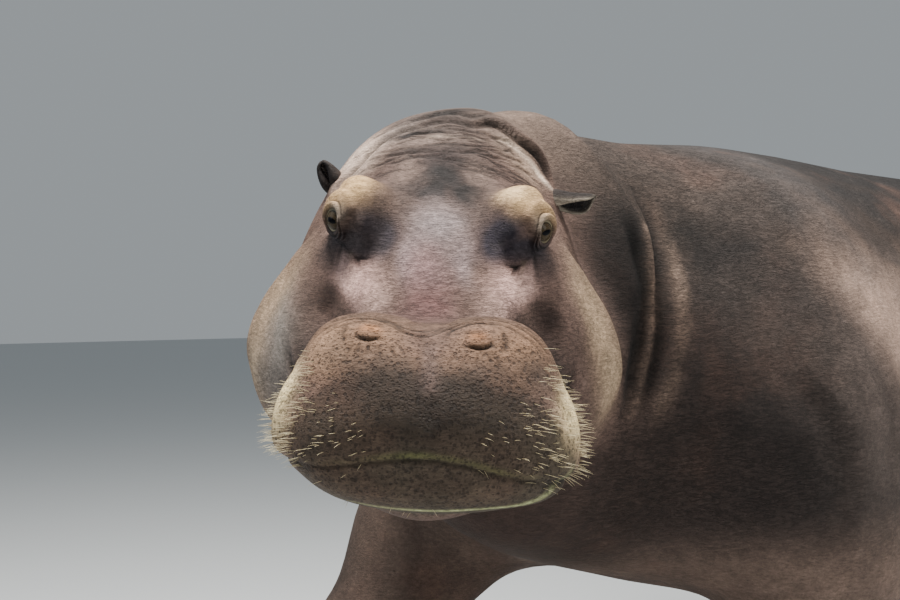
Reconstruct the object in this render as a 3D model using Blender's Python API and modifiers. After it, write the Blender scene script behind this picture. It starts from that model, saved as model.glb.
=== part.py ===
"""A life-size adult hippopotamus, walking slowly, with its head turned to its left.

Metres, +Z up. The body lies along X with its head towards -X, and its left side faces -Y.
The flesh is one clay form: named masses of muscle and fat that blend into one smooth skin. The
form is then parted by thin cuts into head, jaw, neck, trunk, legs and tail. Ears, eyes and
toenails are pieces of their own, each seated in a pocket.
"""

import math

import bmesh
import bpy
import numpy as np
from mathutils import Matrix, Vector

# ---------------------------------------------------------------- driving dimensions
WITHERS_HEIGHT = 1.44
TRUNK_HALF_WIDTH = 0.55
BELLY_HEIGHT = 0.345
GAP = 0.0005  # between two pieces that meet

# The head hangs from the atlas, the joint at the back of the skull.
ATLAS = (-0.748, -0.10, 1.22)
HEAD_TURN = 43.5  # degrees to the animal's left of the body's axis
HEAD_NOD = 24.0  # degrees nose down
HEAD_LEAN = 3.5  # degrees, left side down

# Head sizes, in the head's own frame: forward, left, up from the atlas.
MUZZLE_HALF_WIDTH = 0.215
JOWL_HALF_WIDTH = 0.315
EYE_PLACE = (0.290, 0.170, 0.123)
EYE_RADIUS = 0.031
EAR_PLACE = (0.060, 0.193, 0.100)
EAR_LENGTH = 0.074

CLAY_VOXEL = 0.018
BODY_TRIANGLES = 3250


# ---------------------------------------------------------------- frames and blending
def head_matrix():
    """From the head's frame to the world: columns forward, left, up, and the atlas."""
    turn, nod, lean = (math.radians(a) for a in (HEAD_TURN, HEAD_NOD, HEAD_LEAN))
    ahead = Vector((-math.cos(turn), -math.sin(turn), 0))
    left = Vector((math.sin(turn), -math.cos(turn), 0))
    up = Vector((0, 0, 1))
    forward = ahead * math.cos(nod) - up * math.sin(nod)
    crown = up * math.cos(nod) + ahead * math.sin(nod)
    side = left * math.cos(lean) - crown * math.sin(lean)
    crown = crown * math.cos(lean) + left * math.sin(lean)
    rotation = Matrix((forward, side, crown)).transposed()
    return Matrix.Translation(ATLAS) @ rotation.to_4x4()


HEAD = head_matrix()
BODY = Matrix.Identity(4)


def into(frame, points):
    """World points in a frame's own coordinates."""
    inverse = np.array(frame.inverted())
    return points @ inverse[:3, :3].T + inverse[:3, 3]


def smooth_union(a, b, blend):
    share = np.clip(0.5 + 0.5 * (b - a) / blend, 0, 1)
    return b + (a - b) * share - blend * share * (1 - share)


def smooth_cut(a, b, blend):
    """a, with what lies inside b taken away."""
    return -smooth_union(-a, b, blend)


# ---------------------------------------------------------------- the masses
def ellipsoid(frame, centre, radii, pitch=0.0, yaw=0.0):
    """A mass with three radii along the frame's axes, pitched and then yawed in degrees."""
    place = (
        frame
        @ Matrix.Translation(centre)
        @ Matrix.Rotation(math.radians(yaw), 4, "Z")
        @ Matrix.Rotation(math.radians(pitch), 4, "Y")
    )
    size = np.array(radii)

    def distance(points):
        q = into(place, points)
        near = np.linalg.norm(q / size, axis=1)
        slope = np.linalg.norm(q / size**2, axis=1)
        return near * (near - 1) / np.maximum(slope, 1e-9)

    return distance, [(place, radii)]


def limb(frame, start, end, start_radius, end_radius, flatten=1.0):
    """A tapering length of limb with round ends. flatten under 1 thins it front to back."""
    a, b = (np.array(p, float) for p in (start, end))
    axis = b - a
    length = np.linalg.norm(axis)

    def distance(points):
        q = into(frame, points) - a
        along = np.clip(q @ axis / length**2, 0, 1)
        away = q - along[:, None] * axis
        away[:, 0] /= flatten
        radius = start_radius + (end_radius - start_radius) * along
        return (np.linalg.norm(away, axis=1) - radius) * min(1.0, flatten)

    beads = []
    for share in np.linspace(0, 1, 2 + int(length / 0.08)):
        radius = start_radius + (end_radius - start_radius) * share
        place = frame @ Matrix.Translation(a + share * axis)
        beads.append((place, (radius * flatten, radius, radius)))
    return distance, beads


def loft(frame, stations, squareness, ends):
    """A barrel along the frame's X. A station is (x, top, bottom, half width)."""
    x, top, bottom, width = np.array(stations).T
    slopes = [tangents(x, values) for values in (top, bottom, width)]

    def distance(points):
        q = into(frame, points)
        t, b, w = (
            hermite(x, values, slope, q[:, 0])
            for values, slope in zip((top, bottom, width), slopes)
        )
        middle, height = (t + b) / 2, (t - b) / 2
        across, upward = np.abs(q[:, 1] / w), np.abs((q[:, 2] - middle) / height)
        ratio = (across**squareness + upward**squareness) ** (1 / squareness)
        side = (ratio - 1) * np.minimum(w, height)
        for limit, blend in ends:
            beyond = (q[:, 0] - limit) if limit > x.mean() else (limit - q[:, 0])
            side = -smooth_union(-side, -beyond, blend)
        return side

    low, high = sorted(limit for limit, _ in ends)
    beads = []
    for station in stations:
        at, t, b, w = station
        reach = 0.8 * min(w, (t - b) / 2, at - low + 0.02, high - at + 0.02)
        place = frame @ Matrix.Translation((at, 0, (t + b) / 2))
        beads.append((place, (max(reach, 0.15), w * 0.95, (t - b) * 0.475)))
    return distance, beads


def tangents(x, values):
    """Slopes of a curve through the stations that doesn't overshoot between them."""
    rise = np.diff(values) / np.diff(x)
    inner = np.where(
        rise[1:] * rise[:-1] > 0,
        2 * rise[1:] * rise[:-1] / np.where(rise[1:] + rise[:-1] == 0, 1, rise[1:] + rise[:-1]),
        0,
    )
    return np.concatenate([rise[:1], inner, rise[-1:]])


def hermite(x, values, slopes, at):
    at = np.clip(at, x[0], x[-1])
    i = np.clip(np.searchsorted(x, at) - 1, 0, len(x) - 2)
    step = x[i + 1] - x[i]
    t = (at - x[i]) / step
    return (
        values[i] * (1 + 2 * t) * (1 - t) ** 2
        + slopes[i] * step * t * (1 - t) ** 2
        + values[i + 1] * t * t * (3 - 2 * t)
        + slopes[i + 1] * step * t * t * (t - 1)
    )


def pair(make, frame, centre, *rest, **more):
    """The same mass on both sides of a frame's middle plane."""
    out = []
    for side in (1, -1):
        place = (centre[0], side * centre[1], centre[2])
        turned = {k: v * side if k == "yaw" else v for k, v in more.items()}
        out.append(make(frame, place, *rest, **turned))
    return out


def around(beads, blend):
    """The middle of some beads, and a reach from it that takes in all that they blend with."""
    centres = np.array([place.translation for place, _ in beads])
    centre = centres.mean(axis=0)
    reach = max(np.linalg.norm(c - centre) + max(radii) for c, (_, radii) in zip(centres, beads))
    return centre, reach + 1.3 * blend + 0.04


class Clay:
    """Masses added and carved one after another, each with its own width of blend."""

    def __init__(self):
        self.steps = []
        self.beads = []

    def add(self, blend, *masses):
        for distance, beads in masses:
            self.steps.append((smooth_union, blend, distance, *around(beads, blend)))
            self.beads += beads

    def carve(self, blend, *masses):
        for distance, beads in masses:
            self.steps.append((smooth_cut, blend, distance, *around(beads, blend)))

    def distance(self, points):
        """How far each point is outside the skin. A mass counts only within its reach."""
        value = np.full(len(points), 1.0)
        for join, blend, distance, centre, reach in self.steps:
            near = np.linalg.norm(points - centre, axis=1) < reach
            value[near] = join(value[near], distance(points[near]), blend)
        return value

    def surface(self, voxel):
        """A mesh of even quads: the masses' beads fused, then drawn onto the clay's skin."""
        ball = bmesh.new()
        bmesh.ops.create_uvsphere(ball, u_segments=28, v_segments=18, radius=1)
        corners = np.array([v.co for v in ball.verts])
        faces = [[v.index for v in f.verts] for f in ball.faces]
        ball.free()
        points, rings = [], []
        for place, radii in self.beads:
            matrix = np.array(place @ Matrix.Diagonal((*radii, 1)))
            rings += [[i + len(corners) * len(points) for i in face] for face in faces]
            points.append(corners @ matrix[:3, :3].T + matrix[:3, 3])
        mesh = bpy.data.meshes.new("flesh")
        mesh.from_pydata(np.concatenate(points), [], rings)
        obj = bpy.data.objects.new("flesh", mesh)
        bpy.context.scene.collection.objects.link(obj)
        self.settle(obj, 1.5 * voxel, 7)
        self.settle(obj, voxel, 4)
        return obj

    def settle(self, obj, voxel, turns):
        """Remeshes the object evenly, then draws each point in to the skin."""
        fuse = obj.modifiers.new("fuse", "REMESH")
        fuse.mode = "VOXEL"
        fuse.voxel_size = voxel
        bake(obj)
        mesh = obj.data
        points = coordinates(mesh)
        edges = np.empty(len(mesh.edges) * 2, int)
        mesh.edges.foreach_get("vertices", edges)
        edges = edges.reshape(-1, 2)
        for turn in range(turns):
            points = relaxed(points, edges, 0.5 if turn < turns - 2 else 0.15)
            points = self.drawn_in(points)
        mesh.vertices.foreach_set("co", points.astype(np.float32).ravel())
        mesh.update()

    def drawn_in(self, points):
        """One step of each point towards the skin, along the steepest way."""
        step = 0.002
        value = self.distance(points)
        slope = np.empty_like(points)
        for axis in range(3):
            moved = points.copy()
            moved[:, axis] += step
            slope[:, axis] = (self.distance(moved) - value) / step
        steep = np.maximum((slope**2).sum(axis=1), 0.05)
        move = np.clip(value / steep, -0.05, 0.05)
        return points - move[:, None] * slope


def coordinates(mesh):
    points = np.empty(len(mesh.vertices) * 3, np.float32)
    mesh.vertices.foreach_get("co", points)
    return points.reshape(-1, 3).astype(float)


def relaxed(points, edges, amount):
    """Each point moved part of the way to the middle of its neighbours."""
    total = np.zeros_like(points)
    count = np.zeros(len(points))
    for near, far in (edges.T, edges[:, ::-1].T):
        for axis in range(3):
            total[:, axis] += np.bincount(near, points[far, axis], len(points))
        count += np.bincount(near, minlength=len(points))
    return points + amount * (total / np.maximum(count, 1)[:, None] - points)


# ---------------------------------------------------------------- objects
def new_object(name, shape, group):
    mesh = bpy.data.meshes.new(name)
    bmesh.ops.recalc_face_normals(shape, faces=shape.faces[:])
    shape.to_mesh(mesh)
    shape.free()
    obj = bpy.data.objects.new(name, mesh)
    group.objects.link(obj)
    return obj


def new_group(name, hidden=False):
    group = bpy.data.collections.new(name)
    group.hide_render = hidden
    bpy.context.scene.collection.children.link(group)
    return group


def bake(obj):
    """Applies the object's modifiers to its mesh."""
    bpy.context.view_layer.update()
    graph = bpy.context.evaluated_depsgraph_get()
    made = bpy.data.meshes.new_from_object(obj.evaluated_get(graph))
    obj.modifiers.clear()
    obj.data = made


def duplicate(obj, name):
    twin = obj.copy()
    twin.data = obj.data.copy()
    twin.name = name
    for group in obj.users_collection:
        group.objects.link(twin)
    return twin


def grown(obj, name):
    """A twin of the object, larger all round by the gap."""
    twin = duplicate(obj, name)
    swell = twin.modifiers.new("gap", "DISPLACE")
    swell.strength = GAP
    swell.mid_level = 0
    bake(twin)
    return twin


def cut(obj, tool, operation):
    """Cuts the object and drops any crumb that the cut leaves beside it."""
    step = obj.modifiers.new(tool.name, "BOOLEAN")
    step.operation = operation
    step.solver = "EXACT"
    step.object = tool
    bake(obj)
    keep_largest(obj)


def prism(name, outline, near, far, frame, group):
    """A block with the outline (a, b), from near to far across it, in the frame's axes."""
    shape = bmesh.new()
    ring = [shape.verts.new(frame @ Vector(at)) for at in outline(near)]
    face = shape.faces.new(ring)
    raised = bmesh.ops.extrude_face_region(shape, geom=[face])
    moved = [v for v in raised["geom"] if isinstance(v, bmesh.types.BMVert)]
    step = (frame.to_3x3() @ (Vector(outline(far)[0]) - Vector(outline(near)[0])))
    bmesh.ops.translate(shape, vec=step, verts=moved)
    tool = new_object(name, shape, group)
    tool.hide_render = True
    tool.display_type = "WIRE"
    return tool


def part_off(obj, name, tool):
    """Cuts off what lies inside the tool, as an object of its own, leaving a thin gap."""
    piece = duplicate(obj, name)
    cut(piece, tool, "INTERSECT")
    wider = grown(tool, "wider")
    cut(obj, wider, "DIFFERENCE")
    bpy.data.objects.remove(wider)
    bpy.data.objects.remove(tool)
    return piece


def keep_largest(obj):
    """Drops any crumb that a cut leaves beside the piece."""
    shape = bmesh.new()
    shape.from_mesh(obj.data)
    left = set(shape.verts)
    bodies = []
    while left:
        reached = [left.pop()]
        for vertex in reached:
            for edge in vertex.link_edges:
                other = edge.other_vert(vertex)
                if other in left:
                    left.remove(other)
                    reached.append(other)
        bodies.append(reached)
    bodies.sort(key=len)
    crumbs = [vertex for body in bodies[:-1] for vertex in body]
    bmesh.ops.delete(shape, geom=crumbs, context="VERTS")
    shape.to_mesh(obj.data)
    shape.free()


def seat(obj, host):
    """A pocket in the host for the piece, with a thin gap all round it."""
    pocket = grown(obj, "pocket")
    cut(host, pocket, "DIFFERENCE")
    bpy.data.objects.remove(pocket)


def loft_rings(rings):
    """A closed solid through rings of equal count, its two ends closed with a face."""
    shape = bmesh.new()
    rows = [[shape.verts.new(point) for point in ring] for ring in rings]
    for low, high in zip(rows, rows[1:]):
        for i in range(len(low)):
            j = (i + 1) % len(low)
            shape.faces.new((low[i], low[j], high[j], high[i]))
    shape.faces.new(rows[0])
    shape.faces.new(rows[-1])
    bmesh.ops.triangulate(shape, faces=shape.faces[:])
    return shape


def facing(place, ahead, above):
    """A frame at a place whose X points ahead, and whose Z is as near above as it can be."""
    x = Vector(ahead).normalized()
    y = Vector(above).cross(x).normalized()
    rotation = Matrix((x, y, x.cross(y))).transposed()
    return Matrix.Translation(place) @ rotation.to_4x4()


def paint(obj, colour, roughness):
    made = bpy.data.materials.new(obj.name)
    made.use_nodes = True
    shader = made.node_tree.nodes["Principled BSDF"]
    shader.inputs["Base Color"].default_value = (*colour, 1)
    shader.inputs["Roughness"].default_value = roughness
    shader.inputs["Metallic"].default_value = 0.0
    made.diffuse_color = (*colour, 1)
    obj.data.materials.clear()
    obj.data.materials.append(made)


# ---------------------------------------------------------------- the animal's flesh
def trunk(clay):
    top, bottom, wide = WITHERS_HEIGHT, BELLY_HEIGHT, TRUNK_HALF_WIDTH
    stations = [
        (-0.60, top - 0.15, bottom + 0.35, 0.48 * wide),
        (-0.25, top - 0.03, bottom + 0.19, 0.70 * wide),
        (0.10, top + 0.00, bottom + 0.10, 0.88 * wide),
        (0.60, top - 0.02, bottom + 0.01, 0.97 * wide),
        (1.05, top - 0.01, bottom, wide),
        (1.45, top + 0.00, bottom + 0.05, 0.95 * wide),
        (1.75, top - 0.06, bottom + 0.19, 0.80 * wide),
        (2.05, top - 0.26, bottom + 0.36, 0.55 * wide),
    ]
    clay.add(0.1, loft(BODY, stations, 2.15, [(-0.66, 0.30), (2.02, 0.34)]))
    # shoulder blades and the muscle over them
    clay.add(0.20, *pair(ellipsoid, BODY, (0.00, 0.30, 0.93), (0.27, 0.20, 0.38), pitch=-8))
    # haunches
    clay.add(0.18, *pair(ellipsoid, BODY, (1.62, 0.27, 0.86), (0.38, 0.26, 0.42), pitch=12))


def neck(clay):
    """Two thick rolls of skin between the shoulder and the head, bent to the left."""
    clay.add(0.20, ellipsoid(BODY, (-0.45, -0.035, 1.032), (0.15, 0.290, 0.374), pitch=-6, yaw=20))
    clay.add(0.03, ellipsoid(BODY, (-0.590, -0.092, 1.080), (0.11, 0.312, 0.374), pitch=-10, yaw=30))
    # the throat and dewlap, from the chest to the jaw
    clay.add(0.08, ellipsoid(BODY, (-0.52, -0.09, 0.89), (0.28, 0.23, 0.25), pitch=-28, yaw=22))


def head(clay):
    jowl, muzzle = JOWL_HALF_WIDTH, MUZZLE_HALF_WIDTH
    nape = ellipsoid(HEAD, (0.01, 0, 0.00), (0.17, 0.205, 0.225))
    clay.add(0.04, nape)
    clay.add(0.08, ellipsoid(HEAD, (0.13, 0, 0.025), (0.23, 0.180, 0.155), pitch=-4))
    # the flat forehead and the bridge of the nose, which dips towards the nostrils
    clay.add(0.07, ellipsoid(HEAD, (0.38, 0, -0.025), (0.27, 0.125, 0.105), pitch=8))
    # cheek muscle, and the jowl over the deep angle of the jaw
    cheek = (0.19, jowl - 0.165, -0.07)
    clay.add(0.08, *pair(ellipsoid, HEAD, cheek, (0.20, 0.095, 0.13), pitch=12))
    sag = (0.15, jowl - 0.118, -0.18)
    clay.add(0.06, *pair(ellipsoid, HEAD, sag, (0.17, 0.120, 0.150), yaw=-4))
    # the floor of the jaw
    clay.add(0.08, ellipsoid(HEAD, (0.28, 0, -0.165), (0.34, 0.17, 0.115), pitch=2))
    mandible = [(0.18, 0.130, -0.170), (0.55, 0.100, -0.122)]
    for side in (1, -1):
        back, front = (Vector((u, side * v, w)) for u, v, w in mandible)
        clay.add(0.06, limb(HEAD, back, front, 0.115, 0.066))
    # the broad muzzle: a pad in the middle and a swelling over each tusk
    clay.add(0.06, ellipsoid(HEAD, (0.615, 0, -0.020), (0.125, 0.150, 0.105)))
    tusk_swelling = (0.600, muzzle - 0.106, -0.046)
    clay.add(0.05, *pair(ellipsoid, HEAD, tusk_swelling, (0.115, 0.098, 0.094)))
    lip = (0.630, muzzle - 0.108, -0.066)
    clay.add(0.05, *pair(ellipsoid, HEAD, lip, (0.090, 0.098, 0.056)))
    clay.add(0.04, ellipsoid(HEAD, (0.650, 0, -0.064), (0.080, 0.100, 0.058)))
    # nostril mounds
    nostril = (0.592, 0.084, 0.050)
    clay.add(0.035, *pair(ellipsoid, HEAD, nostril, (0.074, 0.068, 0.040), pitch=6))
    # lower lip and chin
    clay.add(0.03, ellipsoid(HEAD, (0.590, 0, -0.120), (0.115, 0.156, 0.054), pitch=-6))
    # the eye's turret and the brow over it
    brow = (EYE_PLACE[0] - 0.028, EYE_PLACE[1] - 0.052, EYE_PLACE[2] - 0.002)
    clay.add(0.035, *pair(ellipsoid, HEAD, brow, (0.064, 0.038, 0.050), pitch=-8))


# hip or shoulder, stifle or elbow, hock or wrist, foot
LEGS = {
    "foreleg_left": [(0.04, -0.31, 0.84), (0.13, -0.345, 0.56), (0.11, -0.36, 0.30), (0.12, -0.36, 0.085)],
    "foreleg_right": [(-0.08, 0.31, 0.84), (-0.29, 0.40, 0.58), (-0.45, 0.45, 0.31), (-0.50, 0.46, 0.085)],
    "hindleg_left": [(1.62, -0.29, 0.86), (1.45, -0.36, 0.58), (1.50, -0.36, 0.31), (1.42, -0.36, 0.085)],
    "hindleg_right": [(1.66, 0.29, 0.86), (1.62, 0.36, 0.57), (1.82, 0.36, 0.33), (1.78, 0.36, 0.085)],
}
# Each leg leaves the trunk between these two places along the body.
LEG_SPANS = {
    "foreleg_left": (-0.13, 0.38),
    "foreleg_right": (-0.78, 0.02),
    "hindleg_left": (1.13, 1.80),
    "hindleg_right": (1.36, 2.14),
}
KNEE_HEIGHT, ANKLE_HEIGHT = 0.33, 0.135
TOE_ANGLES = (-62, -21, 21, 62)  # degrees round the front of the foot
TOE_REACH = 0.098


def toe_frames(foot):
    """The four toes fan round the front of a foot. Each frame's X points out of the toe."""
    for angle in TOE_ANGLES:
        turn = math.radians(angle)
        out = Vector((-math.cos(turn), 1.1 * math.sin(turn), 0))
        place = Vector((foot[0], foot[1], 0.042)) + TOE_REACH * out
        yield facing(place, out, (0, 0, 1))


def legs(clay):
    """Each leg is (hip or shoulder, elbow or knee, wrist or hock, foot), from the top down."""
    for name, joints in LEGS.items():
        fore = name.startswith("fore")
        radii = (0.19, 0.145, 0.118, 0.128) if fore else (0.26, 0.165, 0.114, 0.122)
        points = [Vector(p) for p in joints]
        clay.add(0.18, limb(BODY, points[0], points[1], radii[0], radii[1]))
        clay.add(0.13, limb(BODY, points[1], points[2], radii[1], radii[2]))
        clay.add(0.08, limb(BODY, points[2], points[3], radii[2], radii[3]))
        for toe in toe_frames(points[3]):
            clay.add(0.03, ellipsoid(toe, (0, 0, 0), (0.058, 0.046, 0.056)))


def floor_cut(clay):
    """The soles come down just past floor level, for the flat cut that follows."""

    def below(points):
        return points[:, 2] + 0.006

    clay.steps.append((smooth_cut, 0.01, below, (0, 0, 0), 9))


def thinned(obj):
    """Fewer, larger facets, kept finest on the face and the feet."""
    points = coordinates(obj.data)
    in_head = into(HEAD, points)
    share = np.clip((in_head[:, 0] + 0.10) / 0.25, 0, 1)
    fine = np.maximum(share, np.clip((0.20 - points[:, 2]) / 0.08, 0, 1))
    group = obj.vertex_groups.new(name="coarse")
    for i, weight in enumerate(1 - 0.25 * fine):
        group.add([i], float(weight), "REPLACE")
    fewer = obj.modifiers.new("fewer", "DECIMATE")
    fewer.ratio = BODY_TRIANGLES / (2 * len(obj.data.polygons))
    fewer.vertex_group = "coarse"
    fewer.vertex_group_factor = 1.0
    fewer.use_collapse_triangulate = True
    bake(obj)


# ---------------------------------------------------------------- parting the flesh
def block_in_yz(side):
    """The outline of a leg's block at a distance along the body: it slopes up and out."""
    corners = [(0.09, -0.2), (0.86, -0.2), (0.86, 0.90), (0.13, 0.42)]

    def outline(x):
        return [(x, side * y, z) for y, z in corners]

    return outline


def jaw_outline(v):
    """Below the line of the mouth, from the lips back to the angle of the jaw."""
    line = [(0.90, -0.052), (0.34, -0.118), (0.12, -0.19), (0.10, -0.6), (0.90, -0.6)]
    return [(u, v, w) for u, w in line]


def ahead_outline(v):
    """All that lies ahead of a plane, with some to spare."""
    return [(0, v, 0.7), (0, v, -0.75), (1.5, v, -0.75), (1.5, v, 0.7)]


def part_flesh(whole, tools):
    floor = prism("floor", lambda y: [(-3, y, 0), (3, y, 0), (3, y, -1), (-3, y, -1)], -2, 2, BODY, tools)
    cut(whole, floor, "DIFFERENCE")
    bpy.data.objects.remove(floor)
    pieces = {}
    for name, (back, front) in LEG_SPANS.items():
        side = -1 if name.endswith("left") else 1
        block = prism("block", block_in_yz(side), back, front, BODY, tools)
        leg = part_off(whole, name + "_upper", block)
        below = prism("below", level_outline(KNEE_HEIGHT), -2, 2, BODY, tools)
        lower = part_off(leg, name + "_lower", below)
        below = prism("below", level_outline(ANKLE_HEIGHT), -2, 2, BODY, tools)
        foot = part_off(lower, name + "_foot", below)
        for piece in (leg, lower, foot):
            pieces[piece.name] = piece
    # the head's cut leans with the head, and is turned less than it is
    turn = Matrix.Rotation(math.radians(30), 4, "Z")
    lean = Matrix.Rotation(math.radians(-20), 4, "Y")
    flip = Matrix.Rotation(math.pi, 4, "Z")
    plane = Matrix.Translation(HEAD_CUT) @ turn @ lean @ flip
    front = prism("ahead", ahead_outline, -0.8, 0.8, plane, tools)
    head_piece = part_off(whole, "head", front)
    jaw = prism("jaw", jaw_outline, -0.6, 0.6, HEAD, tools)
    pieces["lower_jaw"] = part_off(head_piece, "lower_jaw", jaw)
    turn = Matrix.Rotation(math.radians(16), 4, "Z")
    plane = Matrix.Translation(NECK_CUT) @ turn @ flip
    front = prism("ahead", ahead_outline, -0.8, 0.8, plane, tools)
    pieces["neck"] = part_off(whole, "neck", front)
    whole.name = "trunk"
    pieces["head"] = head_piece
    pieces["trunk"] = whole
    return pieces


def level_outline(z):
    def outline(y):
        return [(-3, y, z), (3, y, z), (3, y, z - 2), (-3, y, z - 2)]

    return outline


HEAD_CUT = (-0.69, -0.095, 1.15)
NECK_CUT = (-0.35, -0.03, 1.0)


# ---------------------------------------------------------------- eyes, ears, nails, tail
EYE_LOOK = (0.62, 0.77, 0.08)  # the way the eye faces, in the head's frame
EARS = {
    # the way the ear points and the way its cup opens, in the head's frame
    "ear_left": ((-0.35, 0.90, 0.05), (0.70, 0.25, -0.50)),
    "ear_right": ((-0.80, -0.18, 0.42), (0.65, -0.75, 0.15)),
}


def eyes(group):
    for name, side in (("eye_left", 1), ("eye_right", -1)):
        look = Vector((EYE_LOOK[0], side * EYE_LOOK[1], EYE_LOOK[2])).normalized()
        pupil = Vector((EYE_PLACE[0], side * EYE_PLACE[1], EYE_PLACE[2]))
        ball = bmesh.new()
        place = HEAD @ Matrix.Translation(pupil - EYE_RADIUS * look)
        bmesh.ops.create_uvsphere(
            ball, u_segments=14, v_segments=9, radius=EYE_RADIUS, matrix=place
        )
        yield new_object(name, ball, group)


def ears(group):
    """A short leaf of gristle, cupped, thin at its rim and thick at its root."""
    sections = [
        (-0.35, 0.012, 0.008), (0.0, 0.016, 0.011), (0.18, 0.020, 0.010), (0.40, 0.024, 0.0085),
        (0.62, 0.0235, 0.007), (0.80, 0.019, 0.006), (0.93, 0.012, 0.005), (1.0, 0.005, 0.003),
    ]
    for name, (ahead, opening) in EARS.items():
        side = 1 if name.endswith("left") else -1
        root = HEAD @ Vector((EAR_PLACE[0], side * EAR_PLACE[1], EAR_PLACE[2]))
        turned = HEAD.to_3x3()
        frame = facing(root, turned @ Vector(ahead), turned @ Vector(opening))
        rings = []
        for along, half_width, thick in sections:
            cup = 0.55 * half_width * min(1, max(along, 0) * 3)
            ring = []
            for step in range(14):
                angle = 2 * math.pi * step / 14
                y = half_width * math.cos(angle)
                z = thick * math.sin(angle) + cup * (math.cos(angle) ** 2 - 0.4)
                ring.append(frame @ Vector((along * EAR_LENGTH, y, z)))
            rings.append(ring)
        yield new_object(name, loft_rings(rings), group)


def nails(group):
    """A blunt hoof-like nail over the end of each toe."""
    for leg, joints in LEGS.items():
        for number, toe in enumerate(toe_frames(joints[3])):
            nail = bmesh.new()
            lean = Matrix.Rotation(math.radians(-24), 4, "Y")
            place = toe @ Matrix.Translation((0.047, 0, -0.006)) @ lean
            matrix = place @ Matrix.Diagonal((0.017, 0.027, 0.025, 1))
            bmesh.ops.create_uvsphere(nail, u_segments=8, v_segments=5, radius=1, matrix=matrix)
            yield leg + "_foot", new_object(f"{leg}_nail_{'abcd'[number]}", nail, group)


def tail(group):
    """A short stiff tail, round at its root and flattened from side to side at its tip."""
    # x, z, and half the width across and in depth
    sections = [
        (1.90, 1.14, 0.055, 0.055), (1.99, 1.07, 0.055, 0.052), (2.045, 0.98, 0.046, 0.046),
        (2.065, 0.87, 0.036, 0.038), (2.07, 0.76, 0.026, 0.032), (2.072, 0.68, 0.016, 0.027),
        (2.073, 0.655, 0.007, 0.014),
    ]
    line = [(x, z) for x, z, _, _ in sections]
    rings = []
    for i, (x, z, wide, deep) in enumerate(sections):
        before, after = line[max(i - 1, 0)], line[min(i + 1, len(line) - 1)]
        along = Vector((after[0] - before[0], 0, after[1] - before[1])).normalized()
        across = Vector((0, 1, 0))
        out = along.cross(across)
        ring = []
        for step in range(14):
            angle = 2 * math.pi * step / 14
            ring.append(
                Vector((x, 0, z)) + wide * math.cos(angle) * across + deep * math.sin(angle) * out
            )
        rings.append(ring)
    return new_object("tail", loft_rings(rings), group)


# ---------------------------------------------------------------- the object
HIDE = (0.19, 0.13, 0.11)
BELLY_HIDE = (0.30, 0.20, 0.17)
NAIL = (0.10, 0.08, 0.07)
EYE = (0.06, 0.04, 0.03)


def main():
    for obj in list(bpy.data.objects):
        bpy.data.objects.remove(obj)
    group = new_group("hippopotamus")
    tools = new_group("cutters", hidden=True)
    clay = Clay()
    trunk(clay)
    neck(clay)
    head(clay)
    legs(clay)
    floor_cut(clay)
    whole = clay.surface(CLAY_VOXEL)
    bpy.context.scene.collection.objects.unlink(whole)
    group.objects.link(whole)
    thinned(whole)
    pieces = part_flesh(whole, tools)
    for obj in pieces.values():
        paint(obj, BELLY_HIDE if obj.name == "lower_jaw" else HIDE, 0.6)
    for obj in eyes(group):
        seat(obj, pieces["head"])
        paint(obj, EYE, 0.15)
    for obj in ears(group):
        seat(obj, pieces["head"])
        paint(obj, HIDE, 0.6)
    for host, obj in nails(group):
        seat(obj, pieces[host])
        paint(obj, NAIL, 0.45)
    obj = tail(group)
    seat(obj, pieces["trunk"])
    paint(obj, HIDE, 0.6)
    centre_on_floor(group)


def centre_on_floor(group):
    """Moves all of it so that the middle of its box, at floor level, is the origin."""
    points = np.concatenate([coordinates(obj.data) for obj in group.objects])
    low, high = points.min(axis=0), points.max(axis=0)
    shift = Matrix.Translation((-(low[0] + high[0]) / 2, -(low[1] + high[1]) / 2, 0))
    for obj in group.objects:
        obj.data.transform(shift)


main()
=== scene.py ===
import math

import bmesh
import bpy
import numpy as np
from mathutils import Matrix, Vector, noise
from mathutils.bvhtree import BVHTree

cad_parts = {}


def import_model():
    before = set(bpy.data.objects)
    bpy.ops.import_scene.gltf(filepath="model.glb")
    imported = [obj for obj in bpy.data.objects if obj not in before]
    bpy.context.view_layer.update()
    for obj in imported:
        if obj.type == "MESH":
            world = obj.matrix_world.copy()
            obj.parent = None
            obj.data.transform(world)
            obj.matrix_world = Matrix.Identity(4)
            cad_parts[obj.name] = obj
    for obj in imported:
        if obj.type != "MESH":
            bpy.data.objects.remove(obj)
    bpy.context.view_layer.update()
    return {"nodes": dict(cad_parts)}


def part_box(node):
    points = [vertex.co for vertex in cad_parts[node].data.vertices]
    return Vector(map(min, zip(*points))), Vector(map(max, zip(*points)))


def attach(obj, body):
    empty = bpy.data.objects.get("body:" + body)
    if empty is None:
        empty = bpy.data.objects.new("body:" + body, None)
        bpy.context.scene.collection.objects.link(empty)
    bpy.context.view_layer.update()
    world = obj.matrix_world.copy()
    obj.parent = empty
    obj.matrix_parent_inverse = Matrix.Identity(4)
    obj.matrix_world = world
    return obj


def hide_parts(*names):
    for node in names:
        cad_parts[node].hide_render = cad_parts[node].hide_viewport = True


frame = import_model()

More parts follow.
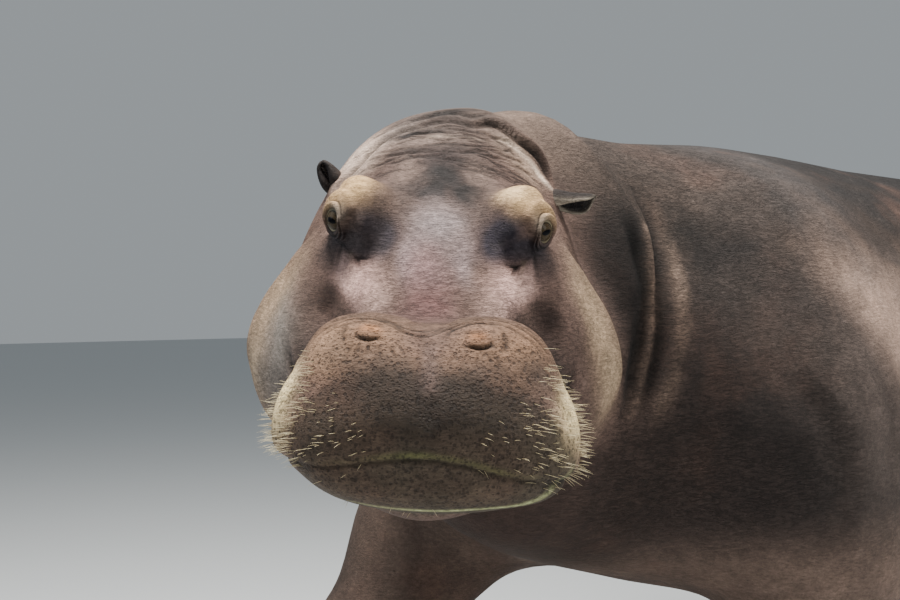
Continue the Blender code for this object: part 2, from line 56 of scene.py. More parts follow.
# ---------------------------------------------------------------- the hide, as a smooth form
# A hippopotamus has one unbroken hide from lip to tail, 5 cm thick and almost bare. The form is
# the flesh under it, fused and smoothed, with close mesh on the head and wide mesh on the body.
EYES = ("eye_left", "eye_right")
NAILS = tuple(name for name in frame["nodes"] if "_nail_" in name)
EARS = ("ear_left", "ear_right")
FLESH = tuple(name for name in frame["nodes"] if name not in EYES + EARS + NAILS)
BLANK_VOXEL = 0.010
BODY_ROUNDS = 110  # of smoothing on the body, with fewer on the head, legs and tail
BODY_SHARE = 0.22  # of the blank's faces that stay when the body's mesh is thinned
FLESH_GROWTH, BALL_INSET = 0.001, -0.002
EYE_RADIUS = 0.031
HEAD_TURN, HEAD_NOD, HEAD_LEAN = (math.radians(angle) for angle in (43.5, 24.0, 3.5))
EYE_LOOK = Vector((0.62, 0.77, 0.08)).normalized()  # of the left eye, in the head's frame
EYE_IN_HEAD = Vector((0.290, 0.170, 0.123)) - EYE_RADIUS * EYE_LOOK


def middle(name):
    low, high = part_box(name)
    return (low + high) / 2


def head_frame():
    """X runs down the nose, Y to the animal's left and Z out of the forehead, from the nape."""
    ahead = Vector((-math.cos(HEAD_TURN), -math.sin(HEAD_TURN), 0))
    left = Vector((math.sin(HEAD_TURN), -math.cos(HEAD_TURN), 0))
    up = Vector((0, 0, 1))
    nose = ahead * math.cos(HEAD_NOD) - up * math.sin(HEAD_NOD)
    crown = up * math.cos(HEAD_NOD) + ahead * math.sin(HEAD_NOD)
    side = left * math.cos(HEAD_LEAN) - crown * math.sin(HEAD_LEAN)
    crown = crown * math.cos(HEAD_LEAN) + left * math.sin(HEAD_LEAN)
    turn = Matrix((nose, side, crown)).transposed()
    between = (middle("eye_left") + middle("eye_right")) / 2
    nape = between - turn @ Vector((EYE_IN_HEAD.x, 0, EYE_IN_HEAD.z))
    return Matrix.Translation(nape) @ turn.to_4x4()


HEAD = head_frame()


def moved(matrix, points):
    """The points, a row each, put through the matrix."""
    parts = np.array(matrix)
    return points @ parts[:3, :3].T + parts[:3, 3]


def mesh_of(work, name):
    """A new mesh of what was worked on, which is let go."""
    mesh = bpy.data.meshes.new(name)
    work.to_mesh(mesh)
    work.free()
    return mesh


def placed(name, data):
    """A new object of the data, in the scene."""
    made = bpy.data.objects.new(name, data)
    bpy.context.scene.collection.objects.link(made)
    return made


def grown_copy(names, by):
    """One mesh of the named pieces, each pushed out along its normals."""
    copy = bmesh.new()
    for name in names:
        copy.from_mesh(frame["nodes"][name].data)
    bmesh.ops.remove_doubles(copy, verts=copy.verts, dist=0.00001)
    copy.normal_update()
    for vertex in copy.verts:
        vertex.co += by * vertex.normal
    return mesh_of(copy, "copy")


def with_modifier(mesh, kind, weights=None, **settings):
    """The mesh once one modifier has been through it."""
    obj = placed("work", mesh)
    if weights is not None:
        group = obj.vertex_groups.new(name="weights")
        for level in np.unique(weights):
            group.add(np.flatnonzero(weights == level).tolist(), float(level), "REPLACE")
        settings["vertex_group"] = group.name
    modifier = obj.modifiers.new("work", kind)
    for name, value in settings.items():
        setattr(modifier, name, value)
    graph = bpy.context.evaluated_depsgraph_get()
    result = bpy.data.meshes.new_from_object(obj.evaluated_get(graph))
    bpy.data.objects.remove(obj)
    return result


def coordinates(mesh):
    flat = np.empty(3 * len(mesh.vertices), np.float32)
    mesh.vertices.foreach_get("co", flat)
    return flat.reshape(-1, 3).astype(float)


def normals(mesh):
    flat = np.empty(3 * len(mesh.vertices), np.float32)
    mesh.vertex_normals.foreach_get("vector", flat)
    return flat.reshape(-1, 3).astype(float)


def edges_of(mesh):
    flat = np.empty(2 * len(mesh.edges), np.int32)
    mesh.edges.foreach_get("vertices", flat)
    return flat.reshape(-1, 2)


def put(mesh, points):
    mesh.vertices.foreach_set("co", points.astype(np.float32).ravel())
    mesh.update()


def relax(points, edges, rounds):
    """Draws each point halfway to the middle of its neighbours, as many times as its rounds say."""
    ends, others = np.concatenate([edges, edges[:, ::-1]]).T
    count = np.maximum(np.bincount(ends, minlength=len(points)), 1)[:, None]
    for turn in range(int(math.ceil(rounds.max()))):
        total = [np.bincount(ends, points[others, axis], len(points)) for axis in range(3)]
        pull = 0.5 * np.clip(rounds - turn, 0, 1)[:, None]
        points = points + pull * (np.stack(total, axis=1) / count - points)
    return points


def ease(value, low, high):
    """0 below low, 1 above high, and smooth between them."""
    share = np.clip((value - low) / (high - low), 0, 1)
    return share * share * (3 - 2 * share)


blank = grown_copy(FLESH, FLESH_GROWTH)
both = bmesh.new()
both.from_mesh(blank)
both.from_mesh(grown_copy(EYES + NAILS, BALL_INSET))
both.to_mesh(blank)
both.free()
blank = with_modifier(blank, "REMESH", mode="VOXEL", voxel_size=BLANK_VOXEL)

points = coordinates(blank)
in_head = moved(HEAD.inverted(), points)
tail_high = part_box("tail")[1]
on_head = ease(in_head[:, 0], -0.14, 0.06) * ease(in_head[:, 2], -0.42, -0.34)
on_leg = 1 - ease(points[:, 2], 0.30, 0.62)
on_foot = 1 - ease(points[:, 2], 0.12, 0.22)
on_tail = ease(points[:, 0], tail_high.x - 0.10, tail_high.x - 0.03)
rounds = BODY_ROUNDS - 96 * on_head
rounds = np.minimum(rounds, BODY_ROUNDS - 75 * on_leg - 28 * on_foot)
rounds = np.minimum(rounds, BODY_ROUNDS - 102 * on_tail)
put(blank, relax(points, edges_of(blank), rounds))

weights = np.where(on_head > 0.5, 0.0, 1.0)
weights = np.where(on_foot > 0.6, np.minimum(weights, 0.7), weights)
blank = with_modifier(blank, "DECIMATE", weights=weights, ratio=BODY_SHARE, vertex_group_factor=1.0)


def smooth(work, verts):
    bmesh.ops.smooth_vert(
        work, verts=verts, factor=0.5, use_axis_x=True, use_axis_y=True, use_axis_z=True
    )


def refined(mesh, wanted):
    """Cuts in four every face whose middle, in the head's frame, is wanted."""
    work = bmesh.new()
    work.from_mesh(mesh)
    middles = np.array([face.calc_center_median() for face in work.faces])
    work.faces.ensure_lookup_table()
    faces = [work.faces[i] for i in np.flatnonzero(wanted(moved(HEAD.inverted(), middles)))]
    edges = list({edge for face in faces for edge in face.edges})
    bmesh.ops.subdivide_edges(work, edges=edges, cuts=1, use_grid_fill=True)
    uneven = [face for face in work.faces if len(face.verts) > 4]
    bmesh.ops.triangulate(work, faces=uneven)
    smooth(work, list({vertex for edge in edges if edge.is_valid for vertex in edge.verts}))
    work.to_mesh(mesh)
    work.free()
    return mesh


def near(places, reach):
    """A test for points of the head's frame within reach of any of the places, on either side."""
    centres = np.array([(u, side * v, w) for u, v, w in places for side in (1, -1)])

    def test(points):
        gap = np.linalg.norm(points[:, None] - centres, axis=2)
        return gap.min(axis=1) < reach

    return test


def on_face(points):
    u, v, w = points.T
    brow = (u > -0.02) & (w > 0.07 - 0.35 * (u - 0.1)) & (np.abs(v) < 0.26)
    nose = (u > 0.22) & (w > -0.02 - 0.10 * (u - 0.4))
    lips = (u > 0.48) & (w > -0.15)
    return brow | nose | lips


def mm(*rows):
    """Rows of whole numbers, each over 1000: places in millimetres come to metres."""
    return [tuple(number / 1000 for number in row) for row in rows]


EYE_PLACES = mm((283, 155, 125))
NOSTRIL_PLACES = mm((615, 80, 95), (625, 60, 95))
MOUTH_PLACES = mm((750, 0, -30), (750, 50, -35), (745, 100, -52), (725, 150, -64), (700, 185, -80))
CROWN_PLACES = mm((120, 30, 210), (120, 90, 195), (120, 145, 160))


def on_features(points):
    """Whether each point is by an eye, a nostril, the mouth or the folds of the crown."""
    reaches = (
        (EYE_PLACES, 0.066), (NOSTRIL_PLACES, 0.055), (MOUTH_PLACES, 0.026), (CROWN_PLACES, 0.055),
    )
    return np.any([near(places, reach)(points) for places, reach in reaches], axis=0)


blank = refined(blank, on_face)
blank = refined(blank, on_features)
blank = refined(blank, near(EYE_PLACES, 0.040))


# ---------------------------------------------------------------- the ears
# Each ear is a short cup of gristle under thin skin, narrow where it leaves the skull, rolled along
# both sides and blunt at its tip. They lie back: the left opens forwards, the right is edge on.
EAR_THICKNESS = 0.0034


def cupped_ear(name, root, along, opening, length, width):
    """A thick sheet curled about its length, and whether each point is on its inside and rim."""
    turn = HEAD.to_3x3()
    along = (turn @ Vector(along)).normalized()
    across = (turn @ Vector(opening)).cross(along).normalized()
    out = along.cross(across)
    root = HEAD @ Vector(root)
    ear = bmesh.new()
    bmesh.ops.create_grid(ear, x_segments=14, y_segments=12, size=1)
    layer = ear.verts.layers.float.new("rim")

    def axis(share):
        return root + along * (length * share) + out * (width * 0.55)

    for vertex in ear.verts:
        share = (vertex.co.y + 1) / 2
        vertex[layer] = max(abs(vertex.co.x), share) ** 14
        curl = vertex.co.x * math.radians(118 - 40 * share)
        half = width * (0.30 + 0.70 * math.sin(math.pi * min(share, 0.72) / 1.44))
        half *= math.sqrt(max(1 - max((share - 0.66) / 0.34, 0) ** 2.4, 0.0004))
        back = half * (1 - math.cos(curl)) + 0.010 * share * share
        reach = share - 0.05 * abs(vertex.co.x) ** 3
        vertex.co = root + along * (length * reach) + across * (half * math.sin(curl)) + out * back
    bmesh.ops.recalc_face_normals(ear, faces=ear.faces)
    bmesh.ops.solidify(ear, geom=ear.faces, thickness=EAR_THICKNESS)
    bmesh.ops.subdivide_edges(ear, edges=ear.edges, cuts=1, use_grid_fill=True)
    for _ in range(3):
        smooth(ear, ear.verts)
    bmesh.ops.recalc_face_normals(ear, faces=ear.faces)
    ear.normal_update()
    marks = []
    for vertex in ear.verts:
        share = min(max((vertex.co - root) @ along / length, 0), 0.8)
        inward = vertex.normal @ (axis(share) - vertex.co).normalized()
        marks.append((1.0, float(inward > 0.25), vertex[layer]))
    return mesh_of(ear, name), marks


# the root, the way it points and the way it opens in the head's frame, then its length and width
EAR_SHAPES = {
    "ear_left": ((0.073, 0.186, 0.104), (-0.24, 0.95, 0.10), (0.80, 0.15, -0.60), 0.078, 0.024),
    "ear_right": ((0.076, -0.176, 0.094), (-0.26, -0.46, 0.80), (0.88, -0.30, 0.20), 0.058, 0.010),
}
ears = [cupped_ear(name, *shape) for name, shape in EAR_SHAPES.items()]
none = np.zeros((len(blank.vertices), 3))
of_ear, in_ear, ear_rim = np.concatenate([none, *(marks for _, marks in ears)]).T
joined = bmesh.new()
joined.from_mesh(blank)
for mesh, _ in ears:
    joined.from_mesh(mesh)
joined.to_mesh(blank)
joined.free()


# ---------------------------------------------------------------- folds and features of the hide
# The skin lies in thick lids round each eye, in closed flaps over the nostrils, in a padded lip
# with a shallow cleft, and in creases and rolls on the crown and round the neck, where it bends.
WORLD = Matrix.Identity(4)


class Hide:
    """The hide's points while its folds are pressed in, and how deep in a crease each one lies."""

    def __init__(self, mesh):
        self.mesh = mesh
        self.points = coordinates(mesh)
        self.crease = np.zeros(len(self.points))
        self.settle()

    def settle(self):
        put(self.mesh, self.points)
        self.normals = normals(self.mesh)
        work = bmesh.new()
        work.from_mesh(self.mesh)
        self.tree = BVHTree.FromBMesh(work)
        work.free()

    def trace(self, line, matrix=HEAD):
        """A smooth line through the places, laid on the hide, and the hide's normals along it."""
        ends = [Vector(place) for place in line]
        ends = [2 * ends[0] - ends[1], *ends, 2 * ends[-1] - ends[-2]]
        path, out = [], []
        for a, b, c, d in zip(ends, ends[1:], ends[2:], ends[3:]):
            for share in np.linspace(0, 1, 7)[:-1]:
                t = float(share)
                place = 0.5 * (
                    2 * b
                    + (c - a) * t
                    + (2 * a - 5 * b + 4 * c - d) * t * t
                    + (3 * b - a - 3 * c + d) * t**3
                )
                found, normal, _, _ = self.tree.find_nearest(matrix @ place)
                path.append(found)
                out.append(normal)
        found, normal, _, _ = self.tree.find_nearest(matrix @ Vector(line[-1]))
        return np.array(path + [found]), np.array(out + [normal])

    def beside(self, line, reach, matrix=HEAD):
        """Which points are near the line, how far to its left, how far off and how far along."""
        path, out = self.trace(line, matrix)
        low, high = path.min(axis=0) - reach, path.max(axis=0) + reach
        which = np.flatnonzero(((self.points > low) & (self.points < high)).all(axis=1))
        spot = self.points[which][:, None]
        step = path[1:] - path[:-1]
        length = np.linalg.norm(step, axis=1)
        share = np.clip(((spot - path[:-1]) * step).sum(axis=2) / length**2, 0, 1)
        gap = spot - (path[:-1] + share[..., None] * step)
        far = np.linalg.norm(gap, axis=2)
        nearest = far.argmin(axis=1)
        row = np.arange(len(which))
        left = np.cross(out[nearest], step[nearest] / length[nearest, None])
        aside = (gap[row, nearest] * left).sum(axis=1)
        start = np.concatenate([[0], np.cumsum(length)])
        along = (start[nearest] + share[row, nearest] * length[nearest]) / start[-1]
        same_side = (self.normals[which] * out[nearest]).sum(axis=1) > -0.2
        keep = (far[row, nearest] < reach) & same_side
        return which[keep], aside[keep], far[row, nearest][keep], along[keep]

    def groove(
        self, line, depth, width, roll=0.0, roll_width=0.0, taper=0.25, matrix=HEAD, mark=1.0
    ):
        """Presses a crease, and a fold beside it: left where roll is over 0, right under 0."""
        reach = 3.2 * max(width, roll_width)
        which, aside, far, along = self.beside(line, reach, matrix)
        fade = ease(np.minimum(along, 1 - along), -0.02, taper) if taper > 0 else 1.0
        dip = np.exp(-((far / width) ** 2)) * fade
        push = -depth * dip
        if roll:
            off = aside * (1 if roll > 0 else -1)
            push = push + abs(roll) * fade * np.exp(-(((off - 1.1 * roll_width) / roll_width) ** 2))
        self.points[which] += push[:, None] * self.normals[which]
        self.crease[which] = np.maximum(self.crease[which], mark * dip)

    def swell(self, centre, radii, height, matrix=HEAD, way=None):
        """Raises a mound, or presses a hollow, in an ellipsoid: along the normals or one way."""
        local = (moved(matrix.inverted(), self.points) - np.array(centre)) / np.array(radii)
        share = np.exp(-(local**2).sum(axis=1))
        which = np.flatnonzero(share > 0.01)
        towards = self.normals[which] if way is None else np.array(matrix.to_3x3() @ Vector(way))
        self.points[which] += (height * share[which])[:, None] * towards


hide = Hide(blank)
rng = np.random.default_rng(7)
LID_REACH, LID_TUCK = 0.095, 0.005  # how far the lids' folds spread, and how deep the rim tucks in


def eyelids(side):
    """A thick upper lid and thin folded lower lids that close on the ball, under a hood."""
    centre = np.array(middle("eye_left" if side > 0 else "eye_right"))
    turn = HEAD.to_3x3()
    look = np.array(turn @ Vector((EYE_LOOK.x, side * EYE_LOOK.y, EYE_LOOK.z)))
    up = np.array(turn @ Vector((0.10, 0, 1)))
    up -= look * (up @ look)
    up /= np.linalg.norm(up)
    nose = side * np.cross(up, look)
    spot = hide.points - centre
    which = np.flatnonzero(np.linalg.norm(spot, axis=1) < LID_REACH)
    spot = spot[which]
    far = np.linalg.norm(spot, axis=1)
    off_axis = np.degrees(np.arccos(np.clip(spot @ look / far, -1, 1)))
    round_it = np.arctan2(spot @ up, spot @ nose)
    upper = ease(np.cos(round_it - 0.95), -0.50, 0.30)
    below = np.clip(-np.sin(round_it), 0, 1)
    thick = 0.22 + 0.78 * np.clip(np.cos(round_it - 0.75), 0, 1)
    tear = np.clip(np.cos(round_it + 1.15), 0, 1) ** 8
    past = off_axis - (28 + 8 * np.abs(np.sin(round_it + 0.25)) ** 1.5 + 6 * tear)

    def ring(at, width, of=past):
        return np.exp(-(((of - at) / width) ** 2))

    # the upper lid: one thick roll, then the crease under the hood, then the hood
    over = 0.0030 + 0.0050 * thick * ring(3 + 8 * thick, 3.5 + 4.5 * thick)
    over -= 0.0018 * thick * ring(12 + 12 * thick, 2.6)
    over += 0.0130 * ease(past, 11 + 12 * thick, 46)
    # the lower lids: soft folds that fan out from the inner corner
    fan = past / (0.40 + 0.60 * below)
    under = 0.0022 + 0.0022 * ring(5, 3.2)
    under = under + 0.0044 * ring(17, 4.6, fan) + 0.0036 * ring(31, 6.0, fan)
    edge = ease(past, -1.5, 3.5)
    over = 0.0006 + edge * (upper * over + (1 - upper) * under - 0.0006)
    inside = ease(past, -4.0, 0.5)
    target = (EYE_RADIUS - LID_TUCK) * (1 - inside) + (EYE_RADIUS + over) * inside
    hold = 1 - upper * ease(past, 38, 66) - (1 - upper) * ease(past, 28, 58)
    reach = far * (1 - hold) + target * hold
    hide.points[which] = centre + spot * (reach / far)[:, None]
    # the folds and the tucked rim are kept as crease depth, which the hide's colour uses for
    # painted shade
    fold = upper * ring(12 + 12 * thick, 2.4) * ease(np.sin(round_it + 0.2), -0.1, 0.3)
    fold = np.maximum(fold, (1 - upper) * (0.8 * ring(11, 2.6, fan) + 0.8 * ring(24, 3.2, fan)))
    rim = 0.95 * (1 - ease(past, -1.0, 2.0)) * (past > -12)
    hide.crease[which] = np.maximum(hide.crease[which], np.maximum(fold, rim))


def pair(line, depth, width, roll=0.0, roll_width=0.0, **more):
    """The same crease on both sides of the head."""
    for side in (1, -1):
        places = [(u, side * v, w) for u, v, w in line]
        hide.groove(places, depth, width, side * roll, roll_width, **more)


def swells(rows, sides=(1,)):
    """Mounds and hollows: middle, radii and height in millimetres, and a way if it isn't out."""
    for side in sides:
        for place, radii, height, *way in rows:
            (u, v, w), radii = mm(place, radii)
            way = (way[0][0], side * way[0][1], way[0][2]) if way else None
            hide.swell((u, side * v, w), radii, height / 1000, way=way)


# on each side the hood of the brow, the hollow inside it, the cheekbone and the hollow outside it,
# the bag under the eye, the root of the ear, the cheek's hollow, the lip pad and the jowl
swells([
    ((252, 126, 166), (50, 44, 44), 13), ((236, 152, 162), (42, 38, 42), 13),
    ((325, 80, 115), (40, 32, 40), -7), ((385, 105, 52), (70, 46, 40), 14),
    ((345, 182, 2), (32, 26, 42), -24), ((262, 160, 62), (46, 34, 26), 20, (0.15, 1, 0)),
    ((78, 185, 112), (30, 26, 26), 12), ((445, 150, -10), (45, 30, 50), -14),
    ((575, 150, 60), (50, 55, 45), 8), ((300, 235, -30), (90, 40, 70), 8),
], sides=(1, -1))
# the bridge of the nose, one lip pad fuller than the other, the crown, the jaw and the nape
swells([
    ((430, 0, 85), (90, 35, 40), -4), ((580, 80, 95), (40, 60, 40), 7),
    ((20, 60, 220), (60, 80, 50), 12), ((340, 0, -290), (110, 170, 75), 30),
    ((-55, 100, 200), (85, 80, 80), 13, (-0.4, 0.1, 0.91)),
    ((-110, 190, 160), (105, 90, 100), 26, (-0.4, 0.2, 0.88)),
])
hide.swell((-0.62, -0.05, 1.38), (0.22, 0.26, 0.16), 0.014, matrix=WORLD, way=(0, 0, 1))
hide.swell((0.10, 0.00, 1.42), (0.42, 0.45, 0.30), 0.018, matrix=WORLD, way=(0, 0, 1))
swells([((30, 135, 170), (45, 50, 50), 12)])
hide.settle()
for side in (1, -1):
    eyelids(side)
hide.settle()

# the folds under the eyes, over the cheekbone, and the creases that ring the hood
BAG = mm(
    (331, 97, 86), (330, 109, 79), (322, 127, 74), (314, 141, 66), (303, 155, 61), (290, 168, 59),
    (275, 178, 61), (257, 183, 66),
)
UNDER_EYE = mm((307, 138, 78), (296, 154, 71), (278, 171, 70), (253, 181, 72))
pair(BAG, 0.0042, 0.0038, -0.0020, 0.0060, mark=1.0)
pair(UNDER_EYE, 0.0028, 0.0032, mark=1.0)
pair([(u - 0.012, v + 0.004, w + 0.009) for u, v, w in UNDER_EYE[:3]], 0.0018, 0.0028, mark=0.8)
pair(mm((204, 112, 196), (180, 150, 176), (172, 182, 145), (182, 200, 105)), 0.005, 0.006)
pair(mm((214, 120, 200), (196, 155, 184), (190, 182, 158)), 0.0018, 0.0035, mark=0.5)

# the nostrils: a soft flap closed down over a curved slit, in a low mound ringed by fine creases
for (u, v, w), side in (((0.617, -0.079, 0.098), -1), ((0.626, 0.061, 0.098), 1)):

    def round_nostril(*places):
        return [(u + ahead, v + side * off, w + over) for ahead, off, over in places]

    hide.swell((u - 0.006, v, w), (0.042, 0.040, 0.034), 0.005)
    hide.settle()
    slit = round_nostril(
        (-0.004, 0.027, 0), (0.012, 0.021, 0), (0.020, 0.006, 0), (0.017, -0.010, 0),
        (0.021, -0.022, 0),
    )
    hide.groove(slit, 0.0048, 0.0026, taper=0.35)
    hide.swell((u + 0.003, v + side * 0.002, w), (0.012, 0.015, 0.022), 0.0035)
    near_crease = round_nostril((-0.016, -0.020, 0), (-0.012, -0.004, 0), (-0.018, 0.012, 0))
    hide.groove(near_crease, 0.002, 0.004, mark=0.6)
    back_crease = round_nostril(
        (-0.034, 0.030, 0), (-0.040, 0, 0), (-0.030, -0.032, 0), (-0.006, -0.044, 0)
    )
    hide.groove(back_crease, 0.0025, 0.0040)
    side_crease = round_nostril((-0.026, 0.036, 0), (-0.004, 0.044, 0), (0.022, 0.042, -0.004))
    hide.groove(side_crease, 0.0022, 0.0036, mark=0.7)
    for spread in (-0.030, -0.014, 0.004, 0.022, 0.034):
        crease = round_nostril(
            (0.022, 0.6 * spread, 0), (0.036, spread, -0.006), (0.050, 1.2 * spread, -0.016)
        )
        hide.groove(crease, 0.0016, 0.0024, taper=0.5, mark=0.6)
hide.settle()

# the arched folds round the back of the nostrils, where the lip pad meets the bridge of the nose
ARCH = mm(
    (585, -160, 70), (577, -126, 88), (574, -92, 94), (590, -60, 93), (608, -30, 90), (605, -2, 89),
    (588, 26, 91), (572, 60, 94), (570, 95, 92), (580, 130, 80), (590, 165, 60),
)
hide.groove(ARCH, 0.0042, 0.0032, taper=0.05, mark=1.0)
hide.groove([(u - 0.013, v, w) for u, v, w in ARCH], 0.0022, 0.0026, taper=0.1, mark=0.8)
for end in (ARCH[:4], ARCH[6:]):
    hide.groove([(u + 0.016, v, w) for u, v, w in end], 0.0020, 0.0026, taper=0.2, mark=0.6)
PAD_BACK = mm(
    (560, 12, 85), (535, 40, 80), (528, 85, 80), (540, 130, 72), (560, 172, 45), (570, 200, 10)
)
pair(PAD_BACK, 0.007, 0.007, -0.004, 0.012, taper=0.10)
pair(mm((525, 20, 78), (505, 60, 76), (506, 110, 66), (520, 152, 40)), 0.003, 0.0055, taper=0.2)

# the mouth runs under the padded lip, highest at the middle, and back along the side of the head
MOUTH = mm(
    (724, 172, -70), (741, 110, -54), (749, 50, -36), (752, 0, -29), (749, -50, -35),
    (742, -110, -51), (726, -170, -66),
)
hide.groove(MOUTH, 0.0022, 0.0030, taper=0.08, mark=0.6)
MOUTH_SIDE = mm(
    (730, 155, -66), (695, 196, -88), (640, 212, -108), (560, 205, -122), (460, 190, -128),
    (370, 190, -118), (310, 205, -90),
)
pair(MOUTH_SIDE, 0.006, 0.008, 0.003, 0.020, taper=0.1)
# the lower lip is full at the middle and on the left, and drawn in on the right
swells([
    ((735, 0, -92), (60, 140, 34), 11), ((690, 185, -110), (70, 50, 34), 6),
    ((700, -185, -105), (80, 55, 45), -12), ((715, -205, -62), (60, 40, 35), -7),
])
CLEFT = mm((590, -6, 88), (640, -6, 90), (700, -3, 66), (738, 2, 29), (750, 5, -6))
CLEFT_LINE = mm((610, -10, 88), (660, -8, 82), (705, -4, 62), (730, 0, 40))
hide.groove(CLEFT, 0.005, 0.013, taper=0.3, mark=0.35)
hide.groove(CLEFT_LINE, 0.003, 0.0035, taper=0.3, mark=0.8)
hide.settle()

# the long ridge from the ear down the cheek, with a valley behind it
CHEEK_RIDGE = mm(
    (165, 190, 80), (140, 228, 0), (122, 270, -63), (130, 305, -123), (126, 328, -190),
    (130, 340, -250),
)
pair(CHEEK_RIDGE, 0.008, 0.020, -0.009, 0.028, mark=0.3)

# the crown: one thick fold, and a fan of finer creases in front of it
CROWN_CREASES = 110
CROWN = mm(
    (60, 206, 120), (40, 165, 150), (48, 120, 185), (40, 80, 205), (62, 47, 216), (56, 0, 222),
    (66, -54, 218), (66, -100, 200), (96, -150, 160), (110, -185, 110),
)
hide.groove(CROWN, 0.0065, 0.0060, -0.0015, 0.012, taper=0.12, mark=0.8)
hide.groove(CROWN[:5], 0.006, 0.005, -0.007, 0.013, taper=0.3, mark=0.9)
behind_crown = [(u - 0.024, 0.95 * v, w) for u, v, w in CROWN[2:8]]
hide.groove(behind_crown, 0.004, 0.005, -0.002, 0.010, taper=0.3, mark=0.8)
for _ in range(CROWN_CREASES):
    ahead = rng.uniform(-0.030, 0.130)
    start, length = rng.uniform(-0.18, 0.12), rng.uniform(0.03, 0.15)
    lean = rng.uniform(-0.16, 0.16)
    line = []
    for v in np.linspace(start, min(start + length, 0.20), 5):
        arch = 0.066 + ahead - 0.9 * v * v + lean * (v - start) + rng.uniform(-0.005, 0.005)
        line.append((arch, v, 0.222 - 2.0 * v * v))
    deep = rng.uniform(0.0009, 0.0034) * (1 - 4 * max(ahead, 0))
    hide.groove(line, deep, rng.uniform(0.0018, 0.0034), taper=0.4, mark=rng.uniform(0.5, 1.0))
hide.settle()

# the rolls of the neck on the inside of the turn, carried up over the nape
INNER_ROLL = mm(
    (-944, -317, 871), (-902, -324, 922), (-884, -333, 1011), (-873, -346, 1100),
    (-892, -339, 1189), (-905, -315, 1278),
)
OUTER_ROLL = mm(
    (-893, -317, 850), (-858, -336, 938), (-841, -349, 1028), (-840, -353, 1100),
    (-821, -308, 1228), (-807, -228, 1344),
)
hide.groove(INNER_ROLL, 0.018, 0.018, matrix=WORLD, mark=0.9)
hide.groove(OUTER_ROLL, 0.016, 0.016, matrix=WORLD, mark=0.9)
hide.settle()

# wide soft folds where the legs fold against the body, and round the wrists
BODY_FOLDS = [
    (mm((-620, -520, 980), (-520, -580, 820), (-500, -600, 660), (-560, -580, 520)), 0.012, 0.030),
    (mm((-400, -560, 1050), (-340, -620, 880), (-340, -630, 720)), 0.008, 0.030),
    (mm((920, -550, 620), (980, -560, 740), (1080, -560, 860)), 0.012, 0.032),
    (mm((-620, 520, 980), (-520, 580, 820), (-500, 600, 660), (-560, 580, 520)), 0.012, 0.030),
    (mm((920, 550, 620), (980, 560, 740), (1080, 560, 860)), 0.012, 0.032),
]
for line, depth, width in BODY_FOLDS:
    hide.groove(line, depth, width, 0.4 * depth, width, matrix=WORLD, mark=0.25)

# shallow valleys between the toes, which are wrapped in one skin
for leg in sorted({name.split("_nail_")[0] for name in NAILS}):
    nails = [middle(name) for name in sorted(NAILS) if name.startswith(leg)]
    hub = sum(nails, Vector()) / len(nails)
    ankle = min(FLESH, key=lambda name: (middle(name) - hub).length)
    hub = Vector((*middle(ankle).xy, 0.0))
    nails.sort(key=lambda place: math.atan2(*(place - hub).yx) % math.tau)
    gaps = list(zip(nails, nails[1:] + nails[:1]))
    gaps.sort(key=lambda ends: (ends[0] - ends[1]).length)
    for one, other in gaps[:3]:
        toe = (one + other) / 2
        valley = []
        for index, share in enumerate((0, 0.35, 0.7, 1)):
            place = hub + (toe - hub) * (1.1 - 0.25 * share)
            valley.append(Vector((*place.xy, 0.012 + 0.10 * index / 3)))
        hide.groove(valley, 0.007, 0.011, matrix=WORLD, taper=0, mark=0.7)
hide.settle()

# every sole lies flat on the ground
SOLE_BAND = 0.004
hide.points[:, 2] = np.where(hide.points[:, 2] < SOLE_BAND, 0.0, hide.points[:, 2])
hide.settle()


# ---------------------------------------------------------------- the hide's colour and grain
# Bare skin, brown grey above and pinker below, paler and tan where it is thin round the eyes and
# nose. It is pebbled all over, finely wrinkled where it bends, and pitted with pores on the lip.
# Light and shade are painted into this colour as well: highlights on lit ridges, mounds and rims,
# and shade in creases, hollows, behind the cheeks, under the jaw and over the back.
in_head = moved(HEAD.inverted(), hide.points)
ahead, left, above = in_head.T
x, y, z = hide.points.T
drift = np.array([noise.noise_vector(Vector(place) * 14) for place in hide.points])
drift = drift + 0.5 * np.array([noise.noise_vector(Vector(place) * 37) for place in hide.points])
head_share = ease(ahead, -0.05, 0.06) * ease(z, 0.55, 0.70)

BACK, FLANK, BELLY, FACE = np.array(mm((46, 41, 40), (152, 107, 86), (60, 44, 39), (125, 86, 73)))


def toward(tint, share, colour):
    """The tint, gone over to the colour by a share at each point."""
    return tint + share[:, None] * (np.array(colour) - tint)


height = z + 0.10 * drift[:, 0]
tint = toward(BACK, 1 - ease(height, 1.00, 1.40), FLANK)
tint = toward(tint, 0.8 * (1 - ease(height, 0.30, 0.62)), BELLY)
tint = toward(tint, head_share, FACE)


def dabbed(tint, patches):
    """The tint with soft patches of colour in the head's frame, on one side or on both."""
    for colour, place, radii, strength, both, wander in patches:
        colour, (u, v, w), radii = mm(colour, place, radii)
        for side in (1, -1) if both else (1,):
            local = in_head - np.array((u, side * v, w)) + wander / 1000 * drift
            share = strength * np.exp(-((np.abs(local / np.array(radii)) ** 2.4).sum(axis=1)))
            tint = toward(tint, np.minimum(share, 0.97), colour)
    return tint


def stroke(colour, line, width, strength, both=False):
    """Paints a soft line of colour over the hide, on one side of the head or on both."""
    for side in (1, -1) if both else (1,):
        places = [(u, side * v, w) for u, v, w in line]
        which, _, far, along = hide.beside(places, 2.4 * width)
        share = strength * np.exp(-((far / width) ** 2))
        share = share * ease(np.minimum(along, 1 - along), -0.02, 0.25)
        share = share * (0.75 + 0.9 * drift[which, 1])
        tint[which] = toward(tint[which], np.clip(share, 0, 0.97), colour)


